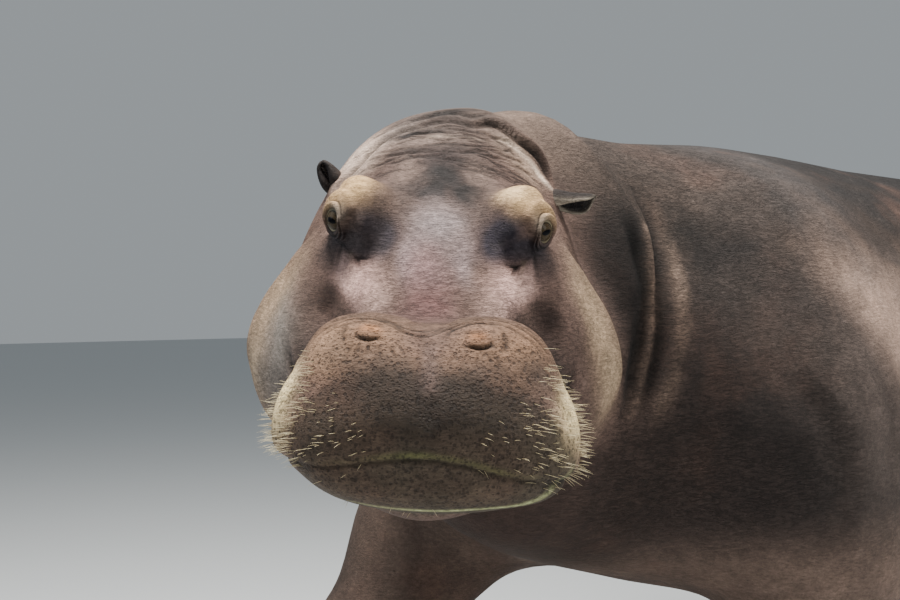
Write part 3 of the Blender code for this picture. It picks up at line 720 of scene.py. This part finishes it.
# colour in thousandths, middle and radii in millimetres, strength, whether it is on both sides of
# the head, and how many millimetres its edge wanders
FACE_PATCHES = [
    # the brow and crown, dark in the middle and pale at the sides
    ((40, 30, 29), (165, 0, 192), (85, 115, 80), 0.92, False, 14),
    ((200, 150, 130), (186, 58, 178), (50, 24, 40), 0.75, True, 14),
    ((13, 11, 11), (240, -18, 164), (32, 26, 40), 1.30, False, 16),
    ((10, 9, 9), (238, 40, 162), (32, 26, 40), 1.30, False, 16),
    ((16, 14, 14), (202, 8, 176), (36, 36, 40), 1.00, False, 18),
    ((24, 20, 20), (232, -54, 163), (22, 22, 30), 0.80, False, 14),
    ((75, 60, 55), (30, 40, 222), (40, 80, 40), 0.90, True, 16),
    ((210, 165, 145), (92, -50, 208), (30, 90, 40), 0.75, False, 16),
    ((240, 185, 155), (70, 110, 190), (30, 50, 40), 0.75, False, 14),
    # painted highlights: sunlit pale patches on the right side of the crown
    ((620, 500, 430), (66, -150, 165), (55, 46, 60), 1.10, False, 14),
    ((300, 250, 225), (60, -85, 205), (22, 40, 30), 0.80, False, 12),
    ((400, 300, 240), (85, 150, 160), (30, 36, 40), 0.75, False, 10),
    ((75, 54, 47), (262, 66, 160), (40, 20, 36), 0.90, True, 10),
    ((135, 98, 80), (-60, 130, 190), (85, 120, 80), 0.85, False, 14),
    # the bridge of the nose, grey between the eyes and rosy below
    ((270, 230, 230), (318, -2, 138), (48, 46, 50), 0.95, False, 14),
    ((300, 240, 240), (362, 43, 104), (45, 18, 40), 0.85, True, 10),
    ((360, 245, 245), (385, -14, 95), (45, 34, 40), 0.85, False, 8),
    ((140, 80, 76), (466, -10, 75), (72, 42, 50), 1.05, False, 8),
    ((90, 58, 52), (520, 0, 80), (40, 110, 40), 0.85, False, 10),
    # the cheekbones, the hollows outside them and the cheeks
    # painted shade, near black, in the hollows outside the cheekbones and in the cheeks' hollows
    ((22, 17, 17), (338, 184, 2), (26, 22, 28), 1.30, False, 6),
    ((30, 24, 24), (345, -186, -2), (24, 20, 24), 0.55, False, 6),
    ((26, 20, 19), (415, 185, -60), (60, 45, 75), 1.15, True, 8),
    ((430, 325, 235), (205, 262, -80), (60, 50, 130), 1.00, True, 14),
    ((480, 370, 270), (200, 300, -165), (60, 40, 60), 0.90, True, 10),
    ((330, 300, 270), (300, -262, -100), (70, 50, 100), 0.80, False, 14),
    # round the eyes: blue black below and inside, dark skin deepened by painted shade under the
    # hood, and tan on the hood
    ((40, 36, 46), (320, 94, 117), (34, 28, 36), 1.60, True, 10),
    ((36, 31, 38), (308, 126, 95), (32, 34, 20), 1.40, True, 6),
    ((30, 26, 30), (288, 156, 86), (34, 30, 20), 1.10, True, 5),
    ((560, 390, 225), (266, 130, 174), (42, 30, 22), 0.95, True, 8),
    ((500, 350, 215), (262, 166, 160), (36, 30, 30), 0.95, True, 6),
    ((290, 255, 215), (300, 166, 140), (18, 18, 20), 0.80, True, 3),
    ((85, 62, 52), (282, -94, 160), (40, 22, 30), 0.85, False, 8),
    # painted highlight on the top of the left hood
    ((800, 600, 390), (262, 112, 176), (22, 24, 20), 0.90, False, 4),
    ((100, 82, 78), (306, -118, 100), (45, 45, 35), 0.50, False, 12),
    # painted highlights on the tops of the cheekbone mounds
    ((640, 440, 400), (366, 122, 52), (56, 52, 22), 1.20, True, 7),
    ((800, 560, 500), (342, 140, 46), (30, 30, 16), 1.30, True, 5),
    ((500, 360, 320), (440, 100, 56), (52, 30, 30), 0.80, True, 8),
    # the lip pads, tan above, with an olive lower lip and pale corners
    ((175, 112, 78), (620, 110, 75), (70, 130, 40), 1.00, True, 10),
    ((290, 195, 140), (622, -150, 70), (36, 36, 28), 0.80, False, 12),
    ((90, 60, 50), (610, 0, 90), (50, 40, 40), 0.90, False, 8),
    ((52, 48, 33), (700, 0, -140), (120, 220, 55), 0.94, False, 8),
]
tint = dabbed(tint, FACE_PATCHES)

# the front of the lip pads is nearly black, its own dark skin and painted shade together, with a
# ragged upper edge
u, v, w = (in_head + 0.018 * drift).T
wide = np.where(v > 0, 0.80 * v, -v)
dark_and_shaded_front = ease(u, 0.650, 0.684) * (1 - ease(wide, 0.155, 0.200)) * ease(u - 0.30 * wide, 0.590, 0.636)
dark_and_shaded_front = dark_and_shaded_front * ease(w, -0.20, -0.16)
low_front = ease(-w, -0.055, 0.035)[:, None]
front_colour = np.array((0.028, 0.021, 0.017)) + low_front * np.array((0.030, 0.026, 0.019))
tint = toward(tint, 0.96 * dark_and_shaded_front, front_colour)
# over it, a painted highlight down the lit side of each lip pad by the corner of the lips, then the
# nostrils and the mottled skin round them
LIP_PATCHES = [
    ((800, 660, 420), (604, 208, -2), (62, 25, 50), 1.20, True, 10),
    ((250, 132, 78), (612, -80, 100), (12, 14, 30), 1.00, False, 4),
    ((170, 90, 54), (620, 62, 100), (12, 14, 30), 1.00, False, 4),
    ((45, 34, 29), (636, 152, 50), (30, 30, 30), 0.85, False, 10),
    ((80, 58, 47), (640, -95, 70), (30, 60, 16), 0.70, False, 10),
    ((70, 50, 42), (645, 85, 64), (30, 50, 16), 0.70, False, 10),
]
tint = dabbed(tint, LIP_PATCHES)

# lines along the folds: painted highlights on their lit edges, painted shade in the dark lines that
# they close on, and an olive line over the mouth
PALE, DARK, OLIVE = (0.66, 0.54, 0.45), (0.016, 0.013, 0.013), (0.115, 0.115, 0.060)
# painted highlights on the lit ridges of the crown
stroke(PALE, mm(
    (60, 60, 212), (63, 96, 196), (70, 135, 176), (76, 170, 150), (87, 205, 120),
), 0.007, 1.0)
stroke(PALE, mm((100, -40, 208), (98, 0, 212), (94, 40, 208), (84, 80, 196)), 0.004, 0.5)
# painted shade in the creases of the crown
stroke(DARK, mm((35, -50, 225), (30, 0, 228), (10, 50, 216), (0, 90, 200)), 0.011, 1.1)
stroke(DARK, mm(
    (75, -110, 198), (80, -50, 214), (82, 0, 218), (74, 50, 212), (66, 80, 200),
), 0.009, 0.9)
stroke(DARK, mm((120, -120, 186), (128, -50, 200), (126, 10, 204), (118, 70, 194)), 0.006, 0.55)
stroke(DARK, mm((40, 110, 186), (46, 150, 160), (56, 190, 128)), 0.008, 1.0)
# painted shade in the dark gap between each lip pad and its jowl
stroke(DARK, mm(
    (380, 165, -20), (395, 178, -60), (400, 186, -110), (390, 190, -160),
), 0.020, 0.9, True)
# painted shade along the cleft of the nose
stroke((0.120, 0.086, 0.076), mm(
    (620, 0, 86), (650, 2, 78), (680, 4, 64), (708, 5, 42),
), 0.012, 0.8)
stroke(OLIVE, [(u - 0.006, v, w + 0.007) for u, v, w in MOUTH], 0.005, 0.8)
# painted highlight along the lit lower edge of the lower lip
stroke((0.330, 0.340, 0.200), mm(
    (690, -130, -118), (716, 0, -118), (712, 100, -110), (700, 150, -94), (685, 190, -74),
    (655, 206, -58),
), 0.006, 1.0)
# painted highlight on the upper edge of each bag fold, and painted shade in the creases under the
# eyes
stroke((0.280, 0.240, 0.165), [(u - 0.006, v, w + 0.006) for u, v, w in BAG[2:]], 0.005, 0.9, True)
stroke(DARK, BAG, 0.0045, 1.2, True)
stroke(DARK, UNDER_EYE, 0.0035, 1.1, True)

# the ears are nearly black, dark skin deepened by painted shade, with painted shade darker still
# inside the cup, and the left one has a pale rim
left_rim = ear_rim * (left > 0)
for share, colour in (
    (0.95 * of_ear, (0.015, 0.013, 0.013)),
    (0.9 * in_ear, (0.014, 0.012, 0.013)),
    (0.9 * left_rim, (0.42, 0.37, 0.31)),
):
    tint = toward(tint, share, colour)

# painted shade: the neck is darkest where it is folded in behind the cheek
shade_behind_cheek = ease(left, 0.20, 0.30) * (1 - ease(ahead, 0.02, 0.16)) * ease(ahead, -0.22, -0.12)
shade_behind_cheek = 0.85 * shade_behind_cheek * ease(z, 0.5, 0.7)
tint = toward(tint, shade_behind_cheek, (0.013, 0.012, 0.012))

# the rolls of the neck are browner, with painted light on their crests and painted shade beside
# them on the side toward the head
middle_roll = [(np.array(one) + np.array(other)) / 2 for one, other in zip(INNER_ROLL, OUTER_ROLL)]
for roll, colour, strength in (
    (middle_roll, (0.270, 0.195, 0.155), 0.9),
    ([place + np.array((0.062, -0.012, 0.0)) for place in middle_roll], (0.230, 0.168, 0.134), 0.8),
    ([place - np.array((0.026, -0.004, 0.0)) for place in middle_roll], (0.020, 0.017, 0.016), 0.8),
):
    stroke(colour, [HEAD.inverted() @ Vector(place) for place in roll], 0.018, strength)

# where the hide is pitted, and how finely it is lined
pores = ease(ahead, 0.56, 0.62) * ease(z, 0.55, 0.70)
neck_share = ease(x, -0.98, -0.86) * (1 - ease(x, -0.60, -0.35)) * ease(z, 0.6, 0.8)
bridge = ease(ahead, 0.30, 0.40) * (1 - ease(ahead, 0.52, 0.60)) * head_share
lines = np.clip(0.34 + 0.80 * neck_share + 0.30 * head_share + 0.3 * bridge - 0.25 * pores, 0, 1)


def record(mesh, name, values, kind="FLOAT"):
    layer = mesh.attributes.new(name, kind, "POINT")
    if kind == "FLOAT":
        layer.data.foreach_set("value", values.astype(np.float32))
    else:
        colour = np.concatenate([values, np.ones((len(values), 1))], axis=1)
        layer.data.foreach_set("color", colour.astype(np.float32).ravel())


# the shoulder catches the sun and is paler, as painted light, while painted shade darkens the top
# of the body behind the shoulder and the throat under the jaw; the nape is darker
shoulder = np.exp(-(((x + 0.42) / 0.50) ** 2)) * ease(z, 0.55, 0.90) * (1 - ease(z, 1.10, 1.24))
# painted shade over the top of the body behind the shoulder
shaded_back = ease(x, -0.48, -0.16) * ease(z, 0.98, 1.18)
nape = (1 - ease(x, -0.75, -0.35)) * ease(z, 1.20, 1.32) * (1 - head_share)
tint = toward(tint, 0.6 * nape, (0.086, 0.062, 0.050))
tint = tint * (1 + 1.6 * shoulder * (1 - head_share) - 0.62 * shaded_back)[:, None]
# painted shade on the throat and under the jaw
under = ease(-above, 0.26, 0.34) * (1 - ease(ahead, 0.30, 0.42))
throat_shade = (1 - ease(x, -0.86, -0.62)) * (1 - ease(z, 0.82, 1.04)) * ease(z, 0.30, 0.50)
throat_shade = throat_shade * np.maximum(1 - head_share, under)
tint = tint * (1 - 0.60 * throat_shade)[:, None]
grey = tint.mean(axis=1, keepdims=True)
tint = grey + (1.12 + 0.16 * head_share[:, None]) * (tint - grey)
record(hide.mesh, "tint", np.clip(tint, 0, 1), "FLOAT_COLOR")
# crease depth, which the hide's colour uses for painted shade in the folds
record(hide.mesh, "crease", np.clip(hide.crease, 0, 1))
record(hide.mesh, "pores", pores)
record(hide.mesh, "lines", lines)
record(hide.mesh, "coarse", 1 - 0.45 * head_share + 0.35 * pores)


class Shade:
    """A socket of a material's nodes, so that sums on it are written as sums."""

    def __init__(self, tree, socket=None):
        self.tree, self.socket = tree, socket

    def node(self, kind, inputs=(), output=0, **settings):
        """A new node with these settings and the values or links of its sockets."""
        made = self.tree.nodes.new(kind)
        for name, value in settings.items():
            setattr(made, name, value)
        for key, value in dict(inputs).items():
            if isinstance(value, Shade):
                self.tree.links.new(value.socket, made.inputs[key])
            else:
                made.inputs[key].default_value = value
        return Shade(self.tree, made.outputs[output])

    def maths(self, operation, other=0.0):
        return self.node("ShaderNodeMath", {0: self, 1: other}, operation=operation)

    def __add__(self, other):
        return self.maths("ADD", other)

    __radd__ = __add__

    def __sub__(self, other):
        return self.maths("SUBTRACT", other)

    def __rsub__(self, other):
        return (self * -1.0).maths("ADD", other)

    def __mul__(self, other):
        return self.maths("MULTIPLY", other)

    __rmul__ = __mul__

    def grain(self, scale, detail, roughness=0.5):
        """Noise over these places."""
        inputs = {"Vector": self, "Scale": scale, "Detail": detail, "Roughness": roughness}
        return self.node("ShaderNodeTexNoise", inputs)

    def stretched(self, *scale):
        """These places times a scale on each axis, which makes a pattern lie in streaks."""
        return self.node("ShaderNodeMapping", {"Vector": self, "Scale": scale})

    def step(self, low, high):
        """0 where this is at low, 1 where it is at high, and smooth between them."""
        limits = {"Value": self, "From Min": low, "From Max": high}
        return self.node("ShaderNodeMapRange", limits, interpolation_type="SMOOTHSTEP")

    def mixed(self, a, b):
        """Colour a, going over to colour b as this goes to 1."""
        a, b = ((*colour, 1) if isinstance(colour, tuple) else colour for colour in (a, b))
        return self.node("ShaderNodeMix", {0: self, 6: a, 7: b}, output=2, data_type="RGBA")

    def times(self, share):
        """This colour, darkened or lightened by a plain share."""
        grey = self.node("ShaderNodeCombineColor", {0: share, 1: share, 2: share})
        mix = {0: 1.0, 6: self, 7: grey}
        return self.node("ShaderNodeMix", mix, output=2, data_type="RGBA", blend_type="MULTIPLY")

    def drives(self, shader, name):
        self.tree.links.new(self.socket, shader.inputs[name])

    def embosses(self, shader, strength):
        """The surface rises by this many metres."""
        bump = {"Height": self, "Strength": strength, "Distance": 1.0}
        self.node("ShaderNodeBump", bump, output="Normal").drives(shader, "Normal")


def new_material(name, roughness, specular=0.5):
    material = bpy.data.materials.new(name)
    material.use_nodes = True
    shader = material.node_tree.nodes["Principled BSDF"]
    shader.inputs["Roughness"].default_value = roughness
    shader.inputs["Specular IOR Level"].default_value = specular
    return material, shader, Shade(material.node_tree)


def attribute(shade, name, output="Fac"):
    return shade.node("ShaderNodeAttribute", output=output, attribute_name=name)


def hide_material(name):
    material, shader, shade = new_material(name, 0.70, 0.14)
    place = shade.node("ShaderNodeTexCoord", output="Object")
    marks = ("crease", "pores", "lines", "coarse")
    crease, pores, lines, coarse = (attribute(shade, mark) for mark in marks)

    def cells(scale):
        return shade.node(
            "ShaderNodeTexVoronoi", {"Vector": place, "Scale": scale}, output="Distance"
        )

    cloud, mottle = place.grain(2.6, 4.0, 0.55), place.grain(19.0, 5.0, 0.62)
    fine, finest = place.grain(95.0, 4.0, 0.65), place.grain(330.0, 2.0, 0.55)
    flat = place.stretched(1.0, 1.0, 4.5)
    wrinkle, close_wrinkle = flat.grain(30.0, 5.0, 0.62), flat.grain(88.0, 3.0)
    leather = place.stretched(1.0, 1.0, 2.6).grain(85.0, 4.0, 0.6)
    thin_line = (wrinkle - 0.5).maths("ABSOLUTE").step(0.042, 0.0) * lines
    close_line = (close_wrinkle - 0.5).maths("ABSOLUTE").step(0.080, 0.0) * lines
    # dark pits of two sizes, close together and joined in places
    pits = (cells(118.0) + 0.55 * (fine - 0.5)).step(0.36, 0.18) * 0.62
    pits = pits.maths("MAXIMUM", (cells(205.0) + 0.50 * (fine - 0.5)).step(0.38, 0.20) * 0.50)
    pits = pits * pores
    pebble = 1.0 - cells(210.0)

    colour = attribute(shade, "tint", "Color")
    colour = (cloud.step(0.54, 0.72) * 0.40).mixed(colour, (0.145, 0.078, 0.056))
    colour = (mottle.step(0.60, 0.76) * 0.10).mixed(colour, (0.24, 0.19, 0.165))
    # the crease share darkens the colour in folds and where the lids tuck in: painted shade
    for share in (
        0.45 + 1.10 * mottle, 0.55 + 0.90 * fine, 0.70 + 0.60 * finest, 0.50 + 1.00 * leather,
        1.0 - 0.80 * crease, 1.0 - 0.48 * lines + 0.06 * pores,
        1.0 - 0.30 * thin_line, 1.0 - 0.24 * close_line,
    ):
        colour = colour.times(share)
    colour = (pits * 0.88).mixed(colour, (0.014, 0.010, 0.009))
    colour.drives(shader, "Base Color")
    (0.58 + 0.22 * mottle + 0.10 * finest).drives(shader, "Roughness")
    relief = (0.0007 * pebble + 0.0011 * fine + 0.0006 * finest + 0.0022 * mottle) * coarse
    relief = relief + 0.0016 * leather + 0.0018 * wrinkle * lines
    relief = relief - 0.0011 * thin_line - 0.0022 * pits - 0.0007 * close_line
    relief.embosses(shader, 0.95)
    return material


hide.mesh.materials.clear()
hide.mesh.materials.append(hide_material("hide"))
skin = placed("skin", hide.mesh)
hide.mesh.shade_smooth()
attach(skin, "root")
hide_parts(*FLESH, *EARS)


# ---------------------------------------------------------------- the eyes
# Each eye is a wet ball with a clear bulge over a dark brown iris and a level slot of a pupil, and
# yellowish white round that. It looks a little forward of the middle of its lids.
CORNEA_RISE, CORNEA_EDGE = 0.045, 27  # a share of the radius, and degrees from the axis


def eyeball(name, side):
    turn = HEAD.to_3x3()
    look = turn @ Vector((EYE_LOOK.x + 0.22, side * EYE_LOOK.y, EYE_LOOK.z + 0.06))
    look.normalize()
    level = (turn @ Vector((0.10, 0, 1))).cross(look).normalized()
    rise = look.cross(level)
    frame_of_eye = Matrix((level, rise, look)).transposed().to_4x4()
    ball = bmesh.new()
    bmesh.ops.create_uvsphere(ball, u_segments=64, v_segments=40, radius=EYE_RADIUS)
    gaze = []
    for vertex in ball.verts:
        gaze.append(vertex.co / EYE_RADIUS)
        off_axis = math.degrees(math.acos(max(-1, min(1, gaze[-1].z))))
        vertex.co *= 1 + CORNEA_RISE * max(1 - (off_axis / CORNEA_EDGE) ** 2, 0) ** 1.3
    set_in = Matrix.Translation(middle(name)) @ frame_of_eye
    bmesh.ops.transform(ball, matrix=set_in, verts=ball.verts)
    mesh = mesh_of(ball, name)
    layer = mesh.attributes.new("gaze", "FLOAT_VECTOR", "POINT")
    layer.data.foreach_set("vector", np.array(gaze, np.float32).ravel())
    mesh.shade_smooth()
    return mesh


def eye_material():
    material, shader, shade = new_material("eye", 0.22, 0.08)
    shader.inputs["IOR"].default_value = 1.2
    shader.inputs["Coat Weight"].default_value = 0.5
    shader.inputs["Coat IOR"].default_value = 1.15
    shader.inputs["Coat Roughness"].default_value = 0.04
    gaze = attribute(shade, "gaze", "Vector")
    across, rise = (shade.node("ShaderNodeSeparateXYZ", {0: gaze}, output=axis) for axis in (0, 1))
    ring = (across * across + rise * rise).maths("SQRT")
    ray = rise.maths("ARCTAN2", across)
    spokes = shade.node("ShaderNodeCombineXYZ", {0: ray * 3.0, 1: ring * 2.5})
    spokes = spokes.grain(6.0, 3.0)
    vein = (gaze.grain(7.0, 5.0, 0.7) - 0.5).maths("ABSOLUTE").step(0.022, 0.0)
    slot = ((across * 3.4).maths("POWER", 2.0) + (rise * 7.5).maths("POWER", 2.0)).step(1.15, 0.85)
    iris = spokes.step(0.35, 0.68).mixed((0.012, 0.009, 0.006), (0.070, 0.050, 0.028))
    iris = slot.mixed(iris, (0.002, 0.002, 0.003))
    white = (vein * 0.5).mixed((0.115, 0.098, 0.064), (0.080, 0.036, 0.023))
    colour = (ring + 0.03 * (spokes - 0.5)).step(0.455, 0.505).mixed(iris, white)
    rim = (ring - 0.47).maths("ABSOLUTE").step(0.045, 0.0)
    colour = colour.times(1.0 - 0.8 * rim)
    colour = colour.times(1.0 - 0.55 * ring.step(0.66, 0.86))
    colour.drives(shader, "Base Color")
    return material


material = eye_material()
for name, side in zip(EYES, (1, -1)):
    mesh = eyeball(name, side)
    mesh.materials.append(material)
    eye = placed(name.replace("eye", "ball"), mesh)
    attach(eye, "root")
    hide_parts(name)


# ---------------------------------------------------------------- the toenails
# Four blunt horn nails on each foot, like small hooves, set in the skin over the end of each toe.
# They grow down in ridges and are rubbed pale and flat where they meet the ground.
NAIL_SIZE = Vector((0.017, 0.027, 0.025))
NAIL_LEAN = math.radians(-24)


def foot_nails(leg):
    names = [name for name in NAILS if name.startswith(leg)]
    first, last = middle(names[0]), middle(names[-1])
    heel = Vector(((first.x + last.x) / 2 + 0.068, (first.y + last.y) / 2))
    foot = bmesh.new()
    for name in names:
        out = (middle(name).xy - heel).normalized()
        turn = Matrix.Rotation(math.atan2(out.y, out.x), 4, "Z")
        turn = turn @ Matrix.Rotation(NAIL_LEAN, 4, "Y")
        shape = bmesh.ops.create_uvsphere(foot, u_segments=28, v_segments=20, radius=1)["verts"]
        for vertex in shape:
            x, y, z = vertex.co
            # squarer than a ball across the front, flatter on its face, with a worn lower edge
            wide = math.copysign(abs(y) ** 0.85, y)
            face = x * (1 - 0.16 * z) - 0.10 * y * y
            vertex.co = Vector((face * NAIL_SIZE.x, wide * NAIL_SIZE.y, z * NAIL_SIZE.z))
        low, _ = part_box(name)
        place = Vector((*middle(name).xy, low.z + NAIL_SIZE.z * 0.92))
        bmesh.ops.transform(foot, matrix=Matrix.Translation(place) @ turn, verts=shape)
        for vertex in shape:
            vertex.co.z = max(vertex.co.z, low.z + 0.0008)
    mesh = mesh_of(foot, leg)
    mesh.shade_smooth()
    return mesh, names


def horn_material():
    material, shader, shade = new_material("horn", 0.45, 0.4)
    place = shade.node("ShaderNodeTexCoord", output="Object")
    fibre = place.stretched(160.0, 160.0, 9.0).grain(1.0, 3.0)
    band = place.stretched(8.0, 8.0, 240.0).grain(1.0, 2.0)
    cloud = place.grain(38.0, 4.0)
    tall = shade.node("ShaderNodeSeparateXYZ", {0: place}, output=2)
    worn = (tall + 0.012 * (cloud - 0.5)).step(0.020, 0.004)
    colour = cloud.step(0.35, 0.65).mixed((0.045, 0.032, 0.024), (0.110, 0.078, 0.054))
    colour = (worn * 0.7).mixed(colour, (0.26, 0.205, 0.145))
    colour = colour.times(0.65 + 0.7 * fibre)
    colour.drives(shader, "Base Color")
    (0.36 + 0.25 * cloud).drives(shader, "Roughness")
    (0.0007 * fibre + 0.0010 * band).embosses(shader, 0.8)
    return material


material = horn_material()
for leg in sorted({name.rsplit("_nail_", 1)[0] for name in NAILS}):
    mesh, names = foot_nails(leg)
    mesh.materials.append(material)
    nails = placed(f"nails_{leg}", mesh)
    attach(nails, "root")
    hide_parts(*names)


# ---------------------------------------------------------------- the bristles
# Stiff straw coloured bristles stand out from the sides of the lip pads, with a few on the chin, in
# the ears and in two fringes on the tail. Each is a tapered hair rooted a little under the skin.
ROOT_SHARE = 0.08  # of a hair's length that is under the skin
PATCH_WIDTH, PATCH_HEIGHT = 0.0015, 0.003  # of a hair's place on the unwrapped skin


def hair_template():
    """One hair of five sides along Z, 1 long: its points, and its faces by their corners."""
    hair = bmesh.new()
    bmesh.ops.create_cone(
        hair, cap_ends=True, segments=5, radius1=1, radius2=0.12, depth=1,
        matrix=Matrix.Translation((0, 0, 0.5)),
    )
    upright = [edge for edge in hair.edges if abs(edge.verts[0].co.z - edge.verts[1].co.z) > 0.5]
    bmesh.ops.subdivide_edges(hair, edges=upright, cuts=4)
    hair.verts.ensure_lookup_table()
    points = np.array([vertex.co for vertex in hair.verts])
    faces = [[vertex.index for vertex in face.verts] for face in hair.faces]
    hair.free()
    return points, faces


def rooted(likely, count):
    """Places on the hide and its normals there, picked at random where likely says."""
    mesh = hide.mesh
    mesh.calc_loop_triangles()
    corners = np.empty(3 * len(mesh.loop_triangles), np.int32)
    mesh.loop_triangles.foreach_get("vertices", corners)
    corners = corners.reshape(-1, 3)
    a, b, c = (hide.points[corners[:, i]] for i in range(3))
    area = np.linalg.norm(np.cross(b - a, c - a), axis=1)
    share = area * likely[corners[:, 0]]
    picked = rng.choice(len(corners), count, p=share / share.sum())
    a, b, c = a[picked], b[picked], c[picked]
    s, t = rng.random((2, count, 1))
    s, t = np.where(s + t > 1, 1 - s, s), np.where(s + t > 1, 1 - t, t)
    return a + s * (b - a) + t * (c - a), hide.normals[corners[picked, 0]]


def grown_hairs(places, ways, lengths, thickness, droop):
    """Joined hairs from the places, each along its way and bent down towards its tip."""
    template, faces = hair_template()
    ways = ways / np.linalg.norm(ways, axis=1, keepdims=True)
    across = np.cross(ways, (0.0, 0.0, 1.0))
    across /= np.maximum(np.linalg.norm(across, axis=1, keepdims=True), 0.001)
    rise = np.cross(across, ways)
    x, y, z = template.T
    points = places[:, None] + lengths[:, None, None] * (z[:, None] - ROOT_SHARE) * ways[:, None]
    points = points + thickness * (x[:, None] * across[:, None] + y[:, None] * rise[:, None])
    points[:, :, 2] -= droop * lengths[:, None] * z * z
    # the skin is unwrapped about its length, with its head in the middle of one side
    around, along = np.arctan2(*moved(HEAD.inverted(), places)[:, 1:].T) / 7, places[:, 0] / 4
    across_it = 0.5 + around[:, None] + PATCH_WIDTH * x
    patch = np.stack([across_it, 0.5 + along[:, None] + PATCH_HEIGHT * z], axis=2)
    patch = np.clip(patch.reshape(-1, 2), 0, 1).astype(np.float32)
    starts = np.arange(len(places)) * len(template)
    mesh = bpy.data.meshes.new("hairs")
    loops = [(start + np.array(face)).tolist() for start in starts for face in faces]
    mesh.from_pydata(points.reshape(-1, 3).tolist(), [], loops)
    unwrap = mesh.uv_layers.new(name="OFBake")
    corner = np.empty(len(mesh.loops), np.int32)
    mesh.loops.foreach_get("vertex_index", corner)
    unwrap.data.foreach_set("uv", patch[corner].ravel())
    record(mesh, "tip", np.tile(z, len(places)))
    mesh.shade_smooth()
    return mesh


def hair_material(name, root, tip):
    material, shader, shade = new_material(name, 0.42, 0.4)
    place = shade.node("ShaderNodeTexCoord", output="Object")
    cloud = place.grain(55.0, 2.0)
    colour = (attribute(shade, "tip") + 0.5 * (cloud - 0.5)).step(0.0, 0.8).mixed(root, tip)
    colour.drives(shader, "Base Color")
    return material


facing = hide.normals @ np.array(HEAD.to_3x3())
u, v, w = in_head.T
clumps = np.array([0.35 + noise.noise(Vector(place) * 40) for place in hide.points])
clumps = np.clip(clumps, 0.02, 1)
lip_side = ease(u, 0.56, 0.64) * ease(np.abs(v), 0.110, 0.185) * ease(w, -0.105, -0.070)
lip_side = lip_side * (1 - ease(w, 0.035, 0.070)) * ease(facing[:, 1] * np.sign(v), 0.15, 0.6)
lip_front = ease(u, 0.66, 0.70) * ease(np.abs(v), 0.060, 0.120) * ease(w, -0.07, -0.04)
lip_front = lip_front * (1 - ease(w, 0.00, 0.05))
chin = ease(u, 0.60, 0.70) * (1 - ease(w, -0.115, -0.100)) * ease(w, -0.17, -0.15)
tail_low, tail_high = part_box("tail")
fringe = ease(x, tail_high.x - 0.10, tail_high.x - 0.05)
fringe = fringe * (1 - ease(z, tail_low.z + 0.10, tail_low.z + 0.16))
fringe = fringe * ease(np.abs(hide.normals[:, 0]), 0.4, 0.8)

straw = hair_material("straw_hair", (0.26, 0.20, 0.11), (0.62, 0.53, 0.32))
dark = hair_material("dark_hair", (0.020, 0.015, 0.012), (0.075, 0.055, 0.040))
# where they grow and how many, how far they stand out, to the side and down, how their ways
# scatter, the shortest and the longest, their half width and their droop
BRISTLES = {
    "lip_bristles": (lip_side * clumps, 360, 0.5, 0.9, 0, 0.16, 0.010, 0.026, 0.00042, 0.12),
    "chin_bristles": (
        (lip_front + 0.03 * chin) * clumps, 120, 0.7, 0.5, 0, 0.15, 0.006, 0.015, 0.00036, 0.15
    ),
    "ear_hairs": (in_ear, 150, 1, 0, 0, 0.35, 0.004, 0.010, 0.00035, 0.1),
    "tail_hairs": (fringe, 240, 0.6, 0, 0.9, 0.14, 0.025, 0.055, 0.0007, 0.25),
}
aside = np.array(HEAD.to_3x3() @ Vector((0, 1, 0)))
for name, row in BRISTLES.items():
    likely, count, outward, sideways, down, scatter, shortest, longest, thickness, droop = row
    places, out = rooted(likely, count)
    to_side = np.sign(moved(HEAD.inverted(), places)[:, 1:2]) * aside
    ways = outward * out + sideways * to_side - np.array((0, 0, down))
    ways = ways + rng.normal(0, scatter, places.shape)
    lengths = rng.uniform(shortest, longest, len(places))
    mesh = grown_hairs(places, ways, lengths, thickness, droop)
    mesh.materials.append(straw if "bristles" in name else dark)
    piece = placed(name, mesh)
    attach(piece, "root")


# ---------------------------------------------------------------- the studio
# The model stands on a plain matt floor, wide enough to meet the grey of the air behind it. Four
# round soft lamps hang over it: a key above the head, and weaker ones over the back and the sides.
FLOOR_REACH = 30
floor = bmesh.new()
bmesh.ops.create_grid(floor, x_segments=1, y_segments=1, size=FLOOR_REACH)
mesh = mesh_of(floor, "floor")
floor = placed("floor", mesh)
material, shader, _ = new_material("floor", 0.9)
shader.inputs["Base Color"].default_value = (0.52, 0.54, 0.55, 1)
mesh.materials.append(material)

world = bpy.data.worlds.new("studio")
bpy.context.scene.world = world
world.use_nodes = True
air = world.node_tree.nodes["Background"].inputs
air["Color"].default_value, air["Strength"].default_value = (0.72, 0.78, 0.82, 1), 0.44


def soft_light(name, place, aim, size, power, colour):
    light = bpy.data.lights.new(name, "AREA")
    light.shape = "DISK"
    light.size, light.energy, light.color = size, power, colour
    lamp = placed(name, light)
    lamp.location = place
    lamp.rotation_euler = (Vector(aim) - Vector(place)).to_track_quat("-Z", "Y").to_euler()


soft_light("key", (-1.75, -0.15, 4.6), (-1.25, -0.35, 1.1), 1.0, 520, (1.0, 0.96, 0.90))
soft_light("over", (0.9, -1.9, 4.8), (0.3, 0.0, 0.8), 2.6, 170, (1.0, 0.97, 0.93))
soft_light("fill", (-3.6, 1.6, 2.4), (-1.2, -0.1, 1.1), 2.5, 44, (0.78, 0.90, 1.0))
soft_light("side", (-0.2, -4.2, 2.2), (-0.6, -0.3, 0.9), 2.0, 105, (0.98, 0.97, 0.93))

# the view from in front and to the left of the head, level with it
camera = bpy.data.cameras.new("camera")
camera.lens, camera.sensor_width = 54, 36
view = placed("camera", camera)
view.location = (-2.827, -1.796, 1.10)
view.rotation_euler = (math.radians(90), 0, math.radians(-45))
bpy.context.scene.camera = view
